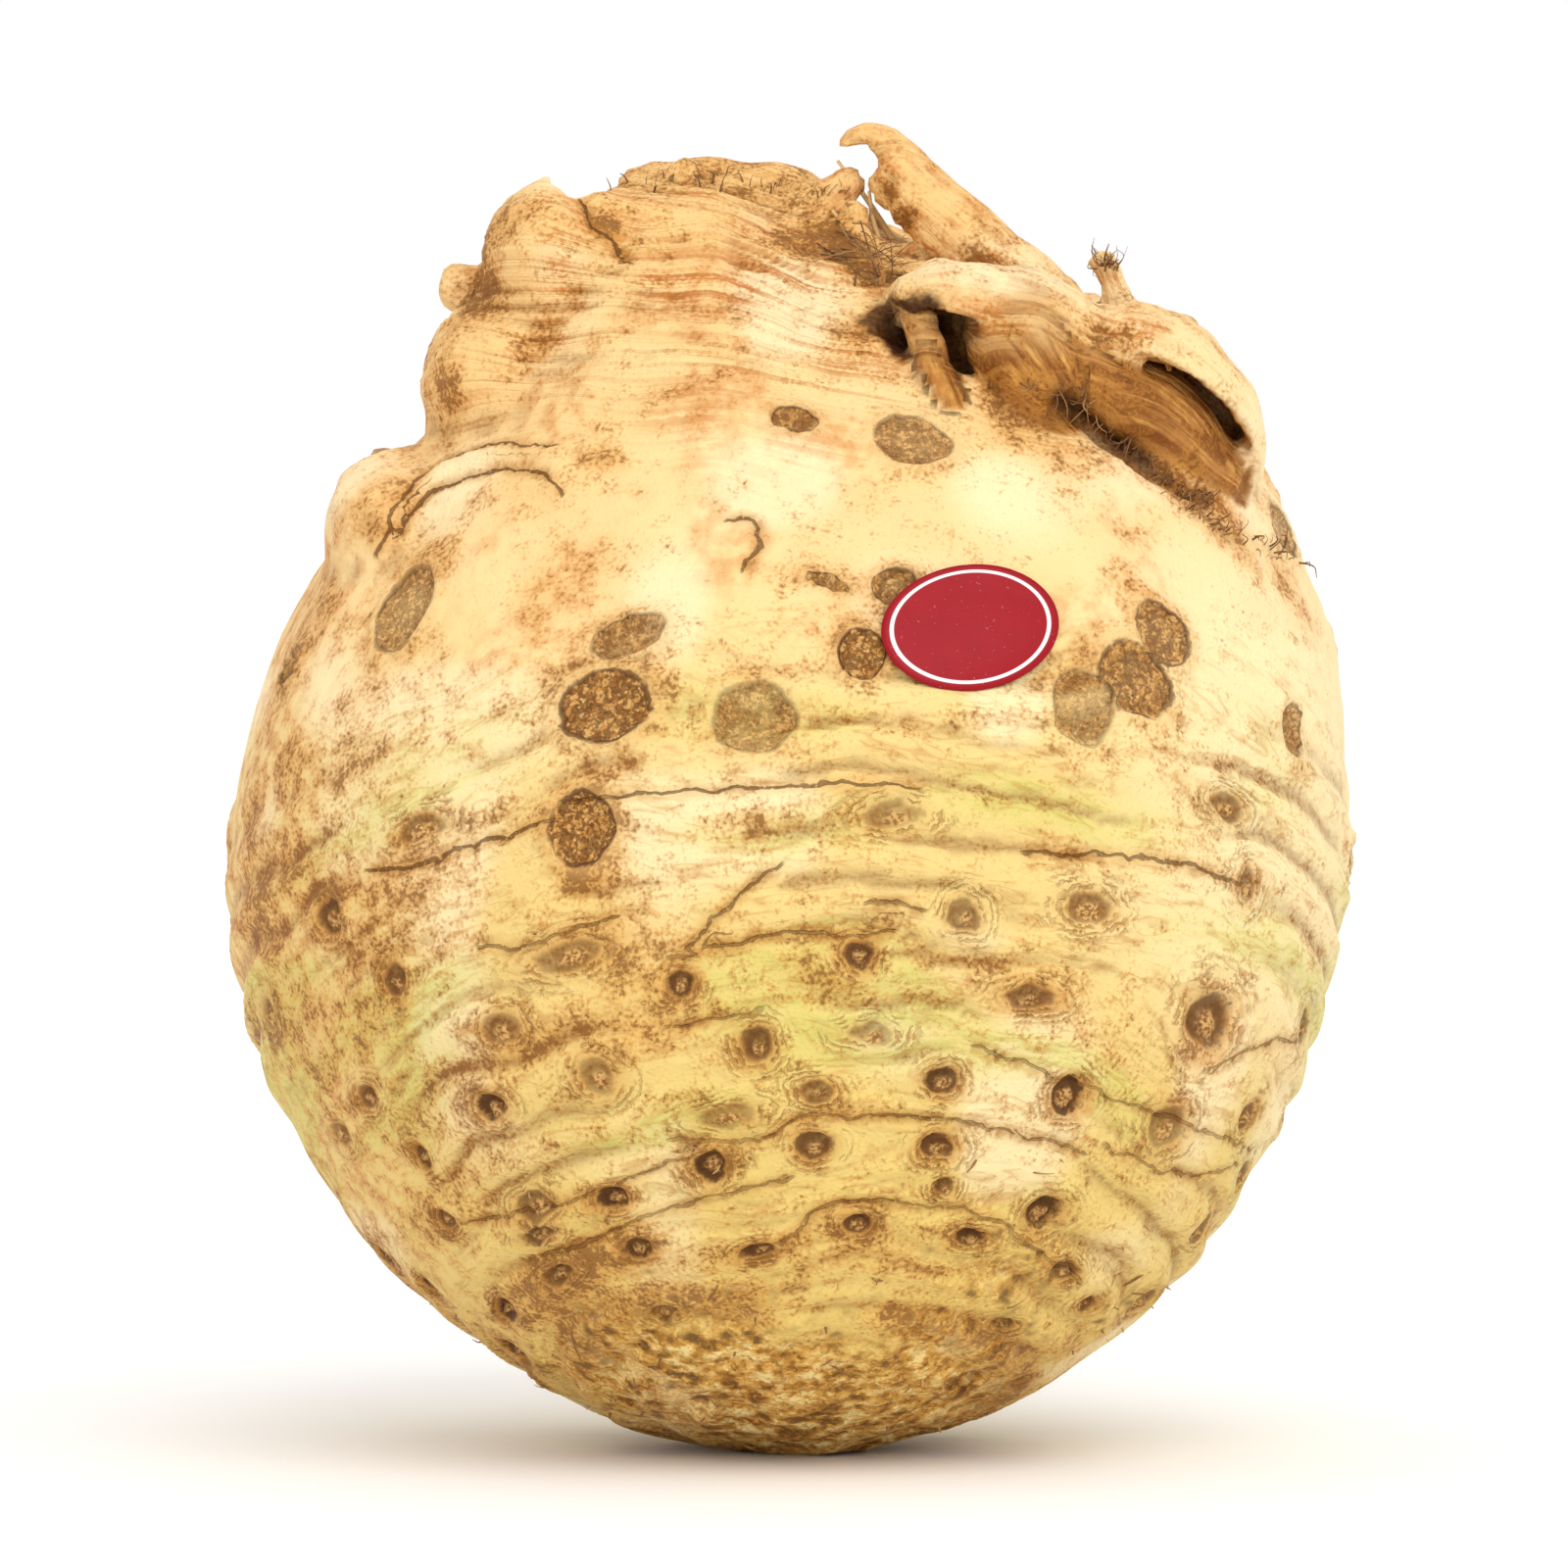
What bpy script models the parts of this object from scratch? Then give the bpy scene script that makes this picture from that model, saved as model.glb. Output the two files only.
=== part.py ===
"""A celeriac root, as sold: a round bulb that leans back on a small flat spot, with the torn leaf bases
of its crown on top, round leaf scars on its shoulders and small root scars in rings below them.

Run it with: blender --background --python part.py
The row frame is in metres: +X to the right, -Y to the front, +Z up, and the flat spot lies in z = 0.
Places and sizes are written in millimetres and turned into metres where they are used.
"""

import math

import bmesh
import bpy
import numpy as np
from mathutils import Matrix, Vector
from mathutils.bvhtree import BVHTree

MM = 0.001
CENTRE = np.array((0.0, 0.0, 63.0))  # the bulb's middle, above the flat spot
LEAN = math.radians(24)  # the root end points this far forward from straight down
ROOT_POLE = np.array((0.06, -math.sin(LEAN), -math.cos(LEAN)))
EYE = np.array((0.0, -1150.0, 105.0))  # the front is seen from here, and places on it are given as seen

# The bulb's radius from CENTRE, by elevation in degrees, seen towards the right, left, front and back.
RIGHT = ((-90, 63.6), (-75, 63.0), (-60, 61.9), (-45, 61.6), (-30, 61.0), (0, 62.2), (18, 64.4),
         (32, 67.2), (45, 71.8), (54, 74.2), (65, 72.6), (78, 72.0), (90, 76.0))
LEFT = ((-90, 63.6), (-75, 62.8), (-60, 61.4), (-45, 61.6), (-30, 61.4), (0, 62.7), (20, 62.0),
        (30, 62.0), (45, 63.0), (55, 65.0), (64, 70.5), (72, 76.0), (80, 78.5), (90, 76.0))
FRONT = ((-90, 63.7), (-75, 63.0), (-60, 62.4), (-30, 60.0), (0, 58.5), (30, 57.0), (45, 58.0),
         (60, 62.5), (75, 70.5), (90, 76.0))
BACK = ((-90, 63.7), (-75, 64.0), (-60, 62.6), (-30, 60.0), (0, 61.0), (20, 64.0), (40, 70.0),
        (55, 74.0), (70, 75.5), (90, 76.0))

VOXEL = 1.0  # the size that joined shapes are remeshed to before relief is raised on them
SOLID_BLEND = 24  # smoothing steps, at a voxel of 1 mm, where solid shapes run into each other
SHELL_BLEND = 3  # and where the thin leaf bases do
FACES_KEPT = 10600  # triangles of the finished root
FOOT_WIDTH = 60.0  # of the block that cuts the flat spot
FOOT_DEPTH = 12.0

# Layers of unevenness: height, width of the lumps, and a seed.
SWELLS = ((0.9, 26, 1), (0.5, 12, 2))
RING_WANDER = ((3.0, 22, 3), (1.2, 9, 4))  # its heights are in degrees
ROOT_END_LUMPS = ((0.55, 3.2, 6), (0.45, 6, 7))
CROWN_LUMPS = ((0.45, 3.5, 8), (0.35, 7, 9))
SHOULDER_LUMPS = ((0.5, 10, 10),)
CROWN_HEIGHTS = (108, 124)  # the crown's roughness begins at the first and is full at the second
SHOULDER_HEIGHTS = (70, 95)
ROOT_END = (12, 30)  # degrees from the root pole: it is full inside the first and gone at the second
RING_SPACING = 6.4  # degrees between growth rings
RING_HEIGHT = 0.5
FIRST_RINGS = (8, 25)  # degrees from the root pole over which the rings rise
LAST_RINGS = (84, 104)  # and over which they fade

# Shapes of the crown: knobs are (centre, radii), limbs are (spine, radii), sheaths add the way their
# backs face, the arc in degrees and the wall.
KNOBS = {
    "neck": ((-14, -2, 122), (22, 20, 18.6)),
    "left_leaf_base": ((-25.0, -8, 131.5), (8.8, 12, 9.8)),
    "lower_left_leaf_base": ((-31.6, -8, 118.8), (9.2, 13, 8.6)),
    "left_shoulder_scale": ((-43.2, -8, 101.8), (8.4, 16, 9.2)),
    "crown_front_rim": ((-8, 1, 135.6), (17, 8, 8.0)),
    "rear_rim": ((-4, 28, 130), (24, 10, 9)),
    "rear_right_rim": ((24, 22, 123), (12, 14, 10)),
}
GROOVES = {
    "under_lip": (((8.5, -24, 124), (14, -23.5, 124), (19, -24.5, 123), (25, -26, 121.5),
                   (31, -26, 120)), (2.6, 5.4, 5.6, 4.2, 2.6)),
    "under_right_sheath": (((31, -24, 121), (36, -23.5, 119.6), (41.4, -22, 117), (46, -20, 113),
                            (49.5, -17, 109)), (3.0, 4.8, 5.4, 4.8, 2.4)),
    "socket": (((13, -36, 124), (13.5, -27, 124.5), (14, -15, 125)), (3.6, 3.9, 3.0)),
    "crown_crater": (((8, 5, 141), (10, 13, 140), (3, 18, 139), (-9, 17, 141)), (6, 10, 10, 7)),
    "crown_gap": (((10.5, -24, 143.5), (12, 0, 142), (13, 20, 142)), (5.0, 6.5, 7)),
    "left_notch": (((-23.6, -24, 142), (-23.2, -8, 141), (-21, 6, 142)), (2.2, 3.4, 3.4)),
    "left_crease": (((-22.8, -14, 140.5), (-21, -18.8, 135.4), (-18.0, -22.4, 130)), (2.4, 2.0, 1.0)),
    "shoulder_notch": (((-42.4, -26, 112.8), (-42.0, -12, 112.4), (-41.0, 2, 113)), (1.4, 2.0, 2.0)),
}
LIMBS = {
    "side_stub": (((-31, -5, 128.8), (-35.5, -5, 129.1), (-38.6, -5, 129.1)), (2.8, 2.2, 2.5)),
    "shoulder_tooth": (((-42.5, -7, 104), (-44.4, -7, 108.5), (-45.2, -7, 111.6)), (4.2, 2.8, 1.2)),
    "frayed_stub": (((38.2, -9, 122), (36.2, -9, 128), (34.2, -9, 132.8)), (3.0, 1.9, 1.6)),
    "ridge_peg": (((-11.8, -4, 137), (-11.5, -4, 140.6), (-11.2, -4, 143.4)), (1.9, 1.4, 0.9)),
    "brown_stub": (((6.6, -9, 130), (7.2, -9, 134.6), (7.4, -9, 138.0)), (2.0, 1.4, 1.1)),
    "inner_petiole": (((14.8, -18, 128.5), (14.8, -23, 126), (16.4, -26.6, 121.4), (18.6, -28.8, 115.4)),
                      (2.4, 2.0, 1.8, 2.0)),
    "inner_fold": (((24, -19, 126), (24.6, -24.8, 123), (26.8, -27.8, 119.6), (29.2, -29, 116)),
                   (5.0, 5.8, 5.2, 3.4)),
    "sheath_fold": (((27.5, -27.0, 120.4), (33, -26.8, 118.2), (38.0, -25.2, 114.8), (42.8, -22.8, 111.0),
                     (48.6, -19.0, 107.0)), (2.8, 3.2, 3.3, 3.2, 2.2)),
    "heart_petiole": (((6, 14, 122), (7, 15, 130), (9, 17, 137)), (4.0, 3.2, 2.6)),
    "heart_petiole_left": (((-4, 17, 122), (-6, 18, 130), (-7, 18, 136)), (3.6, 3.0, 2.4)),
    "heart_petiole_right": (((14, 18, 122), (16, 20, 128), (17, 23, 134)), (3.6, 2.8, 2.2)),
}
SHEATHS = {
    "horn": (((31, -8, 122), (27, -8, 128), (22.2, -7, 133.2), (17.2, -6, 138.2), (13.0, -5, 142.2)),
             (5.4, 4.9, 4.8, 4.5, 3.4), (0.55, -0.68, 0.48), 215, 2.2),
    "horn_tip": (((15, -5, 141.2), (12, -5, 144.4), (8.8, -5, 145.5), (5.4, -5, 144.3)),
                 (3.4, 2.4, 1.9, 1.2), (0.1, -0.3, 1.0), 200, 1.7),
    "lip": (((10.8, -23.5, 126.6), (15.6, -23, 125.4), (21.4, -22.5, 123.4), (27, -22, 121.2),
             (32, -20.8, 119.4)), (3.2, 6.4, 8.0, 8.2, 6.6), (0.0, 0.5, 0.86), 225, 2.6),
    "right_sheath": (((30.5, -20.5, 119.8), (36, -20, 118.6), (41.6, -19.5, 115.8), (46, -17.5, 111.4),
                      (49.4, -15, 106.5)), (6.4, 8.4, 8.6, 7.0, 3.4), (0.15, 0.66, 0.74), 214, 2.6),
    "ridge_tab": (((0, -3, 131), (3, -4, 136), (6, -4, 139.6), (7.6, -3.6, 141.6)),
                  (4.5, 3.8, 2.6, 1.4), (-0.2, -0.8, 0.5), 190, 1.8),
    "rear_leaf_base": (((-6, 24, 121), (-7, 25, 130), (-10, 28, 138.5)), (14, 13.5, 12),
                       (-0.1, 1, 0.15), 130, 2.8),
    "rear_right_leaf_base": (((12, 20, 119), (14, 21, 127), (16, 23, 133)), (14, 13.5, 12),
                             (0.6, 0.8, 0.2), 110, 2.6),
    "left_rear_leaf_base": (((-13, 13, 123), (-14, 13, 130), (-16, 14, 136)), (14, 13.5, 13),
                            (-1, 0.5, 0.2), 100, 2.6),
    "right_rear_leaf_base": (((13, 8, 116), (15, 8, 122), (17, 8, 127.5)), (14, 14, 13),
                             (1, 0.35, 0.2), 90, 2.6),
}
# The crevice under the lip and the right sheath, as seen from EYE: (x, z), and its width.
CREVICE = ((24.0, 118.0), (30.0, 117.0), (33.8, 114.8), (36.4, 112.2), (39.6, 109.6), (43.4, 107.2),
           (48.0, 105.0))
CREVICE_RADII = (1.2, 1.8, 2.4, 2.4, 2.0, 1.6, 1.1)
# The vein that arches over the left shoulder, as it is seen from EYE: (x, z).
SHOULDER_VEIN = ((-46.5, 97), (-44.5, 103), (-40, 108), (-34, 110.4), (-28, 110.8), (-25, 108.4),
                 (-26.6, 106))
VEIN_RADIUS = 0.9

# Round leaf scars, as seen from EYE: x, z, width, height, tilt in degrees.
LEAF_SCARS = (
    (-20.4, 82.4, 10.2, 8.0, 0), (-3.8, 81.0, 8.8, 8.0, 0), (13.8, 112.0, 8.0, 6.2, -15),
    (8.0, 88.3, 5.0, 5.6, 10), (12.0, 95.7, 5.6, 4.6, 30), (38.4, 85.4, 9.6, 7.4, -35),
    (41.4, 90.6, 7.8, 6.2, -35), (32.6, 82.4, 7.0, 8.6, 0), (-42.5, 93.4, 7.0, 11.0, -20),
    (-17.8, 90.4, 8.6, 4.8, 15), (4.4, 96.2, 4.6, 1.8, -25), (0.8, 114.4, 4.8, 3.0, -15),
    (-23.0, 69.0, 7.0, 8.0, 0), (56.0, 80.0, 3.6, 6.0, 20),
)
# Small root scars, as seen from EYE: x, z, width, height.
ROOT_SCARS = (
    (-51.0, 59.2, 4.4, 4.8), (-43.9, 52.1, 3.4, 4.4), (-12.1, 51.8, 3.8, 3.6), (7.9, 55.0, 3.8, 3.8),
    (19.7, 59.2, 4.2, 3.8), (-3.5, 45.0, 4.0, 4.6), (-31.9, 46.6, 5.6, 4.0), (-21.0, 41.4, 4.4, 4.8),
    (-33.0, 37.9, 4.4, 3.8), (3.1, 39.6, 4.6, 3.0), (17.1, 40.7, 4.2, 4.0), (31.1, 39.2, 4.8, 4.4),
    (2.9, 33.4, 4.2, 3.6), (16.7, 33.4, 4.2, 3.6), (-8.6, 31.4, 4.8, 4.4), (-19.5, 27.8, 4.4, 3.2),
    (7.7, 24.9, 3.8, 3.2), (20.2, 23.3, 4.6, 3.0), (28.5, 26.0, 5.0, 4.4), (17.5, 28.8, 3.0, 2.4),
    (-3.2, 21.8, 4.0, 2.4), (-16.9, 22.2, 4.2, 2.8), (-31.6, 15.2, 5.4, 3.0), (-25.6, 19.4, 6.0, 2.6),
    (-28.0, 27.0, 6.4, 3.6), (-27.8, 23.8, 5.4, 2.6), (-38.2, 25.4, 3.2, 3.0), (-40.9, 32.5, 3.0, 4.0),
    (-7.1, 36.9, 7.0, 3.0), (26.7, 50.2, 6.6, 3.0), (46.9, 47.6, 8.0, 7.0), (50.9, 62.6, 4.0, 4.4),
    (33.3, 60.2, 6.4, 4.0), (11.7, 70.4, 7.2, 3.2), (-40.9, 69.0, 7.4, 3.4), (-24.6, 54.8, 9.6, 3.8),
    (42.0, 35.8, 7.0, 5.6), (33.2, 16.0, 3.6, 3.0), (30.5, 20.0, 4.6, 3.0), (48.6, 71.4, 6.4, 3.2),
    (-47.0, 39.0, 4.4, 3.2), (9.0, 46.0, 6.0, 2.6), (24.0, 13.5, 4.0, 2.6), (-14.0, 15.0, 4.0, 2.4),
)
# Scars over the sides, back and underside, where the front view doesn't reach.
HIDDEN_SCARS = 230  # how many places are tried
SEED = 7
HIDDEN_FROM_POLE = (14, 142)  # degrees
ROOT_SCARS_END = 70  # degrees from the root pole where the small scars stop being close together
LEAF_SCARS_START = 86  # and where the leaf scars begin
CLOSE = 7.5  # the least distance between two scars near the root end
APART = 13.0  # and over the shoulders
FACING_FRONT = -0.42  # a scar whose normal's y is less than this is in the front view
ROOT_SCAR_SIZE = (4.4, 3.6)
LEAF_SCAR_SIZE = (8.0, 6.6)
SCAR_REACH = 6.0  # how far under or over its place a scar still marks the skin

STICKER_PLACE = (20.2, 91.3)  # as seen from EYE
STICKER_WIDTH = 20.0
STICKER_HEIGHT = 14.5
STICKER_TILT = 14  # degrees, its right end up
STICKER_GAP = 0.35  # from the highest grain of skin under it
STICKER_THICKNESS = 0.6
STICKER_REACH = 9.0  # how far over its middle the skin under it is looked for


def hermite(table, at):
    """A smooth curve through a table of (knot, value), read at an array of knots."""
    knots, values = np.array(table, float).T
    slopes = np.gradient(values, knots)
    i = np.clip(np.searchsorted(knots, at) - 1, 0, len(knots) - 2)
    span = knots[i + 1] - knots[i]
    t = (at - knots[i]) / span
    start = (1 + 2 * t) * (1 - t) ** 2 * values[i] + t * (1 - t) ** 2 * span * slopes[i]
    end = t * t * (3 - 2 * t) * values[i + 1] + t * t * (t - 1) * span * slopes[i + 1]
    return start + end


def smoothstep(low, high, x):
    t = np.clip((x - low) / (high - low), 0, 1)
    return t * t * (3 - 2 * t)


def grain(points, size, seed):
    """Smooth value noise from -1 to 1, whose lumps are about size millimetres wide."""
    scaled = points / size + seed * 17.31
    cell = np.floor(scaled).astype(np.int64)
    t = scaled - cell
    t = t * t * (3 - 2 * t)
    total = np.zeros(len(points))
    for corner in np.ndindex(2, 2, 2):
        key = ((cell + corner) * (73856093, 19349663, 83492791)).sum(1) ^ (seed * 2654435761)
        key = (key ^ (key >> 13)) * 1274126177 & 0x7FFFFFFF
        key = (key ^ (key >> 16)) * 668265263 & 0x7FFFFFFF
        weight = np.prod(np.where(corner, t, 1 - t), axis=1)
        total += weight * (key % 65536) / 32767.5
    return total - 1


def lumps(points, layers):
    return sum(height * grain(points, size, seed) for height, size, seed in layers)


def unit(vectors):
    return vectors / np.linalg.norm(vectors, axis=-1, keepdims=True)


def new_object(name, points_mm, faces):
    mesh = bpy.data.meshes.new(name)
    mesh.from_pydata((np.asarray(points_mm, float) * MM).tolist(), [], faces)
    made = bpy.data.objects.new(name, mesh)
    bpy.context.scene.collection.objects.link(made)
    return made


def spine_stations(spine, radii, stations):
    """Points, tangents and radii along a smooth curve through the spine's own points."""
    spine = np.array(spine, float)
    along = np.linspace(0, len(spine) - 1, stations)
    knots = np.arange(len(spine))
    points = np.stack([hermite(np.stack([knots, spine[:, axis]], 1), along) for axis in range(3)], 1)
    widths = hermite(np.stack([knots, radii], 1), along)
    return points, unit(np.gradient(points, axis=0)), widths


def loft(name, rings):
    """One closed solid through rings of equal point counts, with flat ends."""
    count, sides = rings.shape[:2]
    faces = []
    for r in range(count - 1):
        for s in range(sides):
            e = (s + 1) % sides
            faces.append((r * sides + s, r * sides + e, (r + 1) * sides + e, (r + 1) * sides + s))
    faces.append(tuple(range(sides))[::-1])
    faces.append(tuple(range((count - 1) * sides, count * sides)))
    made = new_object(name, rings.reshape(-1, 3), faces)
    face_outwards(made)
    return made


def face_outwards(made):
    shape = bmesh.new()
    shape.from_mesh(made.data)
    bmesh.ops.recalc_face_normals(shape, faces=shape.faces)
    shape.to_mesh(made.data)
    shape.free()


def limb(name, spine, radii, stations=20, sides=14):
    """A round tapering shape along a spine."""
    points, tangents, widths = spine_stations(spine, radii, stations)
    side = unit(np.cross(tangents, (0.31, 0.87, 0.38)))
    up = np.cross(side, tangents)
    turns = np.linspace(0, 2 * math.pi, sides, endpoint=False)
    ring = np.cos(turns)[None, :, None] * side[:, None] + np.sin(turns)[None, :, None] * up[:, None]
    return loft(name, points[:, None] + ring * widths[:, None, None])


def sheath(name, spine, radii, crest, span, wall, stations=26, steps=14):
    """A leaf base's shell: an arc swept along a spine, its back towards crest, thinner at its edges."""
    points, tangents, widths = spine_stations(spine, radii, stations)
    crest = np.array(crest, float)
    back = unit(crest - (tangents @ crest)[:, None] * tangents)
    side = np.cross(tangents, back)
    turns = np.radians(np.linspace(-span / 2, span / 2, steps))
    ring = np.cos(turns)[None, :, None] * back[:, None] + np.sin(turns)[None, :, None] * side[:, None]
    walls = wall * (1 - 0.45 * (turns / turns[-1]) ** 2)
    outer = points[:, None] + ring * widths[:, None, None]
    inner_radius = np.maximum(widths[:, None] - walls[None], 0.15 * widths[:, None])
    inner = points[:, None] + ring * inner_radius[:, :, None]
    return loft(name, np.concatenate([outer, inner[:, ::-1]], axis=1))


def ellipsoid(name, centre, radii, subdivisions=4):
    shape = bmesh.new()
    place = Matrix.Translation(Vector(centre) * MM) @ Matrix.Diagonal((*(Vector(radii) * MM), 1))
    bmesh.ops.create_icosphere(shape, subdivisions=subdivisions, radius=1, matrix=place)
    mesh = bpy.data.meshes.new(name)
    shape.to_mesh(mesh)
    shape.free()
    made = bpy.data.objects.new(name, mesh)
    bpy.context.scene.collection.objects.link(made)
    return made


def bulb_radius(directions):
    """The bulb's radius along unit directions from CENTRE, blended from its four outlines."""
    elevation = np.degrees(np.arcsin(np.clip(directions[:, 2], -1, 1)))
    x, y = directions[:, 0], directions[:, 1]
    sideways = np.where(x > 0, hermite(RIGHT, elevation), hermite(LEFT, elevation))
    lengthways = np.where(y < 0, hermite(FRONT, elevation), hermite(BACK, elevation))
    share = x * x / np.maximum(x * x + y * y, 1e-9)
    return share * sideways + (1 - share) * lengthways


def bulb():
    """The smooth bulb: an even sphere, moved out to the outlines, with gentle swells."""
    made = ellipsoid("bulb", (0, 0, 0), (1, 1, 1), subdivisions=6)
    points = read_points(made)
    directions = unit(points)
    points = CENTRE + directions * bulb_radius(directions)[:, None]
    write_points(made, points + directions * lumps(points, SWELLS)[:, None])
    return made


def read_points(made):
    flat = np.empty(len(made.data.vertices) * 3)
    made.data.vertices.foreach_get("co", flat)
    return flat.reshape(-1, 3) / MM


def write_points(made, points_mm):
    made.data.vertices.foreach_set("co", (points_mm * MM).astype(np.float32).ravel())
    made.data.update()


def read_normals(made):
    flat = np.empty(len(made.data.vertices) * 3)
    made.data.vertices.foreach_get("normal", flat)
    return flat.reshape(-1, 3)


def settle(made):
    """Puts what the object's modifiers make into its own mesh."""
    bpy.context.view_layer.update()
    graph = bpy.context.evaluated_depsgraph_get()
    mesh = bpy.data.meshes.new_from_object(made.evaluated_get(graph))
    made.modifiers.clear()
    made.data = mesh


def cut_away(made, cutters):
    """Cuts the grooves, one at a time, and drops their cutters."""
    for cutter in cutters:
        cut = made.modifiers.new(cutter.name, "BOOLEAN")
        cut.operation = "DIFFERENCE"
        cut.object = cutter
        settle(made)
        bpy.data.objects.remove(cutter)


def joined(name, pieces, blend):
    """One object from overlapping closed pieces, remeshed to even faces, with its joints softened."""
    shape = bmesh.new()
    for piece in pieces:
        shape.from_mesh(piece.data)
        bpy.data.objects.remove(piece)
    mesh = bpy.data.meshes.new(name)
    shape.to_mesh(mesh)
    shape.free()
    made = bpy.data.objects.new(name, mesh)
    bpy.context.scene.collection.objects.link(made)
    skin = made.modifiers.new("one_skin", "REMESH")
    skin.mode = "VOXEL"
    skin.voxel_size = VOXEL * MM
    soften = made.modifiers.new("soften", "SMOOTH")
    soften.factor = 0.5
    soften.iterations = round(blend / VOXEL**2)
    settle(made)
    return made


def surface_tree(made):
    """A search tree of an object's surface, in millimetres."""
    points = read_points(made)
    faces = [tuple(face.vertices) for face in made.data.polygons]
    return BVHTree.FromPolygons([Vector(p) for p in points], faces)


def seen_point(tree, x, z):
    """The surface point and normal that EYE sees at x and z, read in the plane y = 0."""
    ray = Vector((x, 0.0, z)) - Vector(EYE)
    place, normal, _, _ = tree.ray_cast(Vector(EYE), ray.normalized())
    return (None, None) if place is None else (np.array(place), np.array(normal))


def ring_axes(normal):
    """Two directions in the skin: along the growth rings, and across them towards the crown."""
    along = unit(np.cross(normal, ROOT_POLE))
    return along, np.cross(normal, along)


def scar_frame(place, normal, width, height, tilt=0.0):
    along, across = ring_axes(normal)
    turn = math.radians(tilt)
    u = math.cos(turn) * along + math.sin(turn) * across
    return place, normal, u, np.cross(normal, u), width / 2, height / 2


def front_scars(tree):
    leaf, root = [], []
    for x, z, width, height, tilt in LEAF_SCARS:
        place, normal = seen_point(tree, x, z)
        if place is not None:
            leaf.append(scar_frame(place, normal, width, height, tilt))
    for x, z, width, height in ROOT_SCARS:
        place, normal = seen_point(tree, x, z)
        if place is not None:
            root.append(scar_frame(place, normal, width, height))
    return leaf, root


def hidden_scars(tree, taken):
    """Scars out of the front view, closer together towards the root end."""
    draw = np.random.default_rng(SEED)
    pole = unit(ROOT_POLE)
    side = unit(np.cross(pole, (0.0, 0.0, 1.0)))
    front = np.cross(pole, side)
    golden_turn = math.pi * (3 - math.sqrt(5))
    first, last = HIDDEN_FROM_POLE
    places = [frame[0] for frame in taken]
    leaf, root = [], []
    for number in range(HIDDEN_SCARS):
        from_pole = first + (last - first) * draw.random() ** 0.9
        turn = number * golden_turn + draw.uniform(-0.2, 0.2)
        size = draw.uniform(0.65, 1.3)
        outward = math.cos(turn) * side + math.sin(turn) * front
        ray = math.cos(math.radians(from_pole)) * pole + math.sin(math.radians(from_pole)) * outward
        place, normal, _, _ = tree.ray_cast(Vector(CENTRE), Vector(ray))
        place, normal = np.array(place), np.array(normal)
        spacing = CLOSE if from_pole < ROOT_SCARS_END else APART
        if normal[1] < FACING_FRONT or min(np.linalg.norm(place - p) for p in places) < spacing:
            continue
        places.append(place)
        if from_pole > LEAF_SCARS_START:
            width, height = LEAF_SCAR_SIZE
            leaf.append(scar_frame(place, normal, width * size, height * size))
        else:
            width, height = ROOT_SCAR_SIZE
            root.append(scar_frame(place, normal, width * size, height * size))
    return leaf, root


def leaf_scar_relief(distance):
    """Height by distance from a leaf scar's middle, in scar radii: a raised rim round a sunk disc."""
    rim = 0.55 * np.exp(-(((distance - 1.15) / 0.22) ** 2))
    floor = -0.6 * (1 - smoothstep(0.75, 1.05, distance))
    return rim + floor


def root_scar_relief(distance):
    """Height by distance from a root scar's middle: a low mound, a pit in it and a stub in the pit."""
    mound = 0.5 * np.exp(-((distance / 2.0) ** 2))
    pit = -1.15 * np.exp(-(((distance - 0.62) / 0.34) ** 2))
    stub = 0.25 * np.exp(-((distance / 0.3) ** 2))
    return mound + pit + stub


def raise_scars(points, frames, relief):
    """The height that each scar gives to the points near it."""
    height = np.zeros(len(points))
    for place, normal, u, v, half_width, half_height in frames:
        offset = points - place
        near = np.abs(offset).max(1) < 3 * max(half_width, half_height)
        near[near] &= np.abs(offset[near] @ normal) < SCAR_REACH
        distance = np.hypot(offset[near] @ u / half_width, offset[near] @ v / half_height)
        height[near] += relief(distance)
    return height


def pole_angle(points):
    """Degrees from the root pole, seen from the bulb's middle."""
    return np.degrees(np.arccos(np.clip(unit(points - CENTRE) @ unit(ROOT_POLE), -1, 1)))


def growth_rings(points):
    """Wrinkles that run round the bulb between the root end and its shoulders."""
    angle = pole_angle(points)
    wave = np.cos(2 * math.pi * (angle + lumps(points, RING_WANDER)) / RING_SPACING)
    broken = smoothstep(-0.5, 0.6, grain(points, 18, 5))
    where = smoothstep(*FIRST_RINGS, angle) * (1 - smoothstep(*LAST_RINGS, angle))
    return RING_HEIGHT * wave * broken * where


def root_end(points):
    """The rough patch round the root pole, where fine roots were trimmed off."""
    return (1 - smoothstep(*ROOT_END, pole_angle(points))) * lumps(points, ROOT_END_LUMPS)


def crown_roughness(points):
    """Torn fibres on the leaf bases, and soft lumps on the shoulders below them."""
    above = smoothstep(*CROWN_HEIGHTS, points[:, 2])
    shoulders = smoothstep(*SHOULDER_HEIGHTS, points[:, 2]) * (1 - above)
    return above * lumps(points, CROWN_LUMPS) + shoulders * lumps(points, SHOULDER_LUMPS)


def flesh_material(name, colour, roughness):
    material = bpy.data.materials.new(name)
    material.use_nodes = True
    shader = material.node_tree.nodes["Principled BSDF"]
    shader.inputs["Base Color"].default_value = (*colour, 1)
    shader.inputs["Roughness"].default_value = roughness
    shader.inputs["Metallic"].default_value = 0.0
    return material


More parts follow.
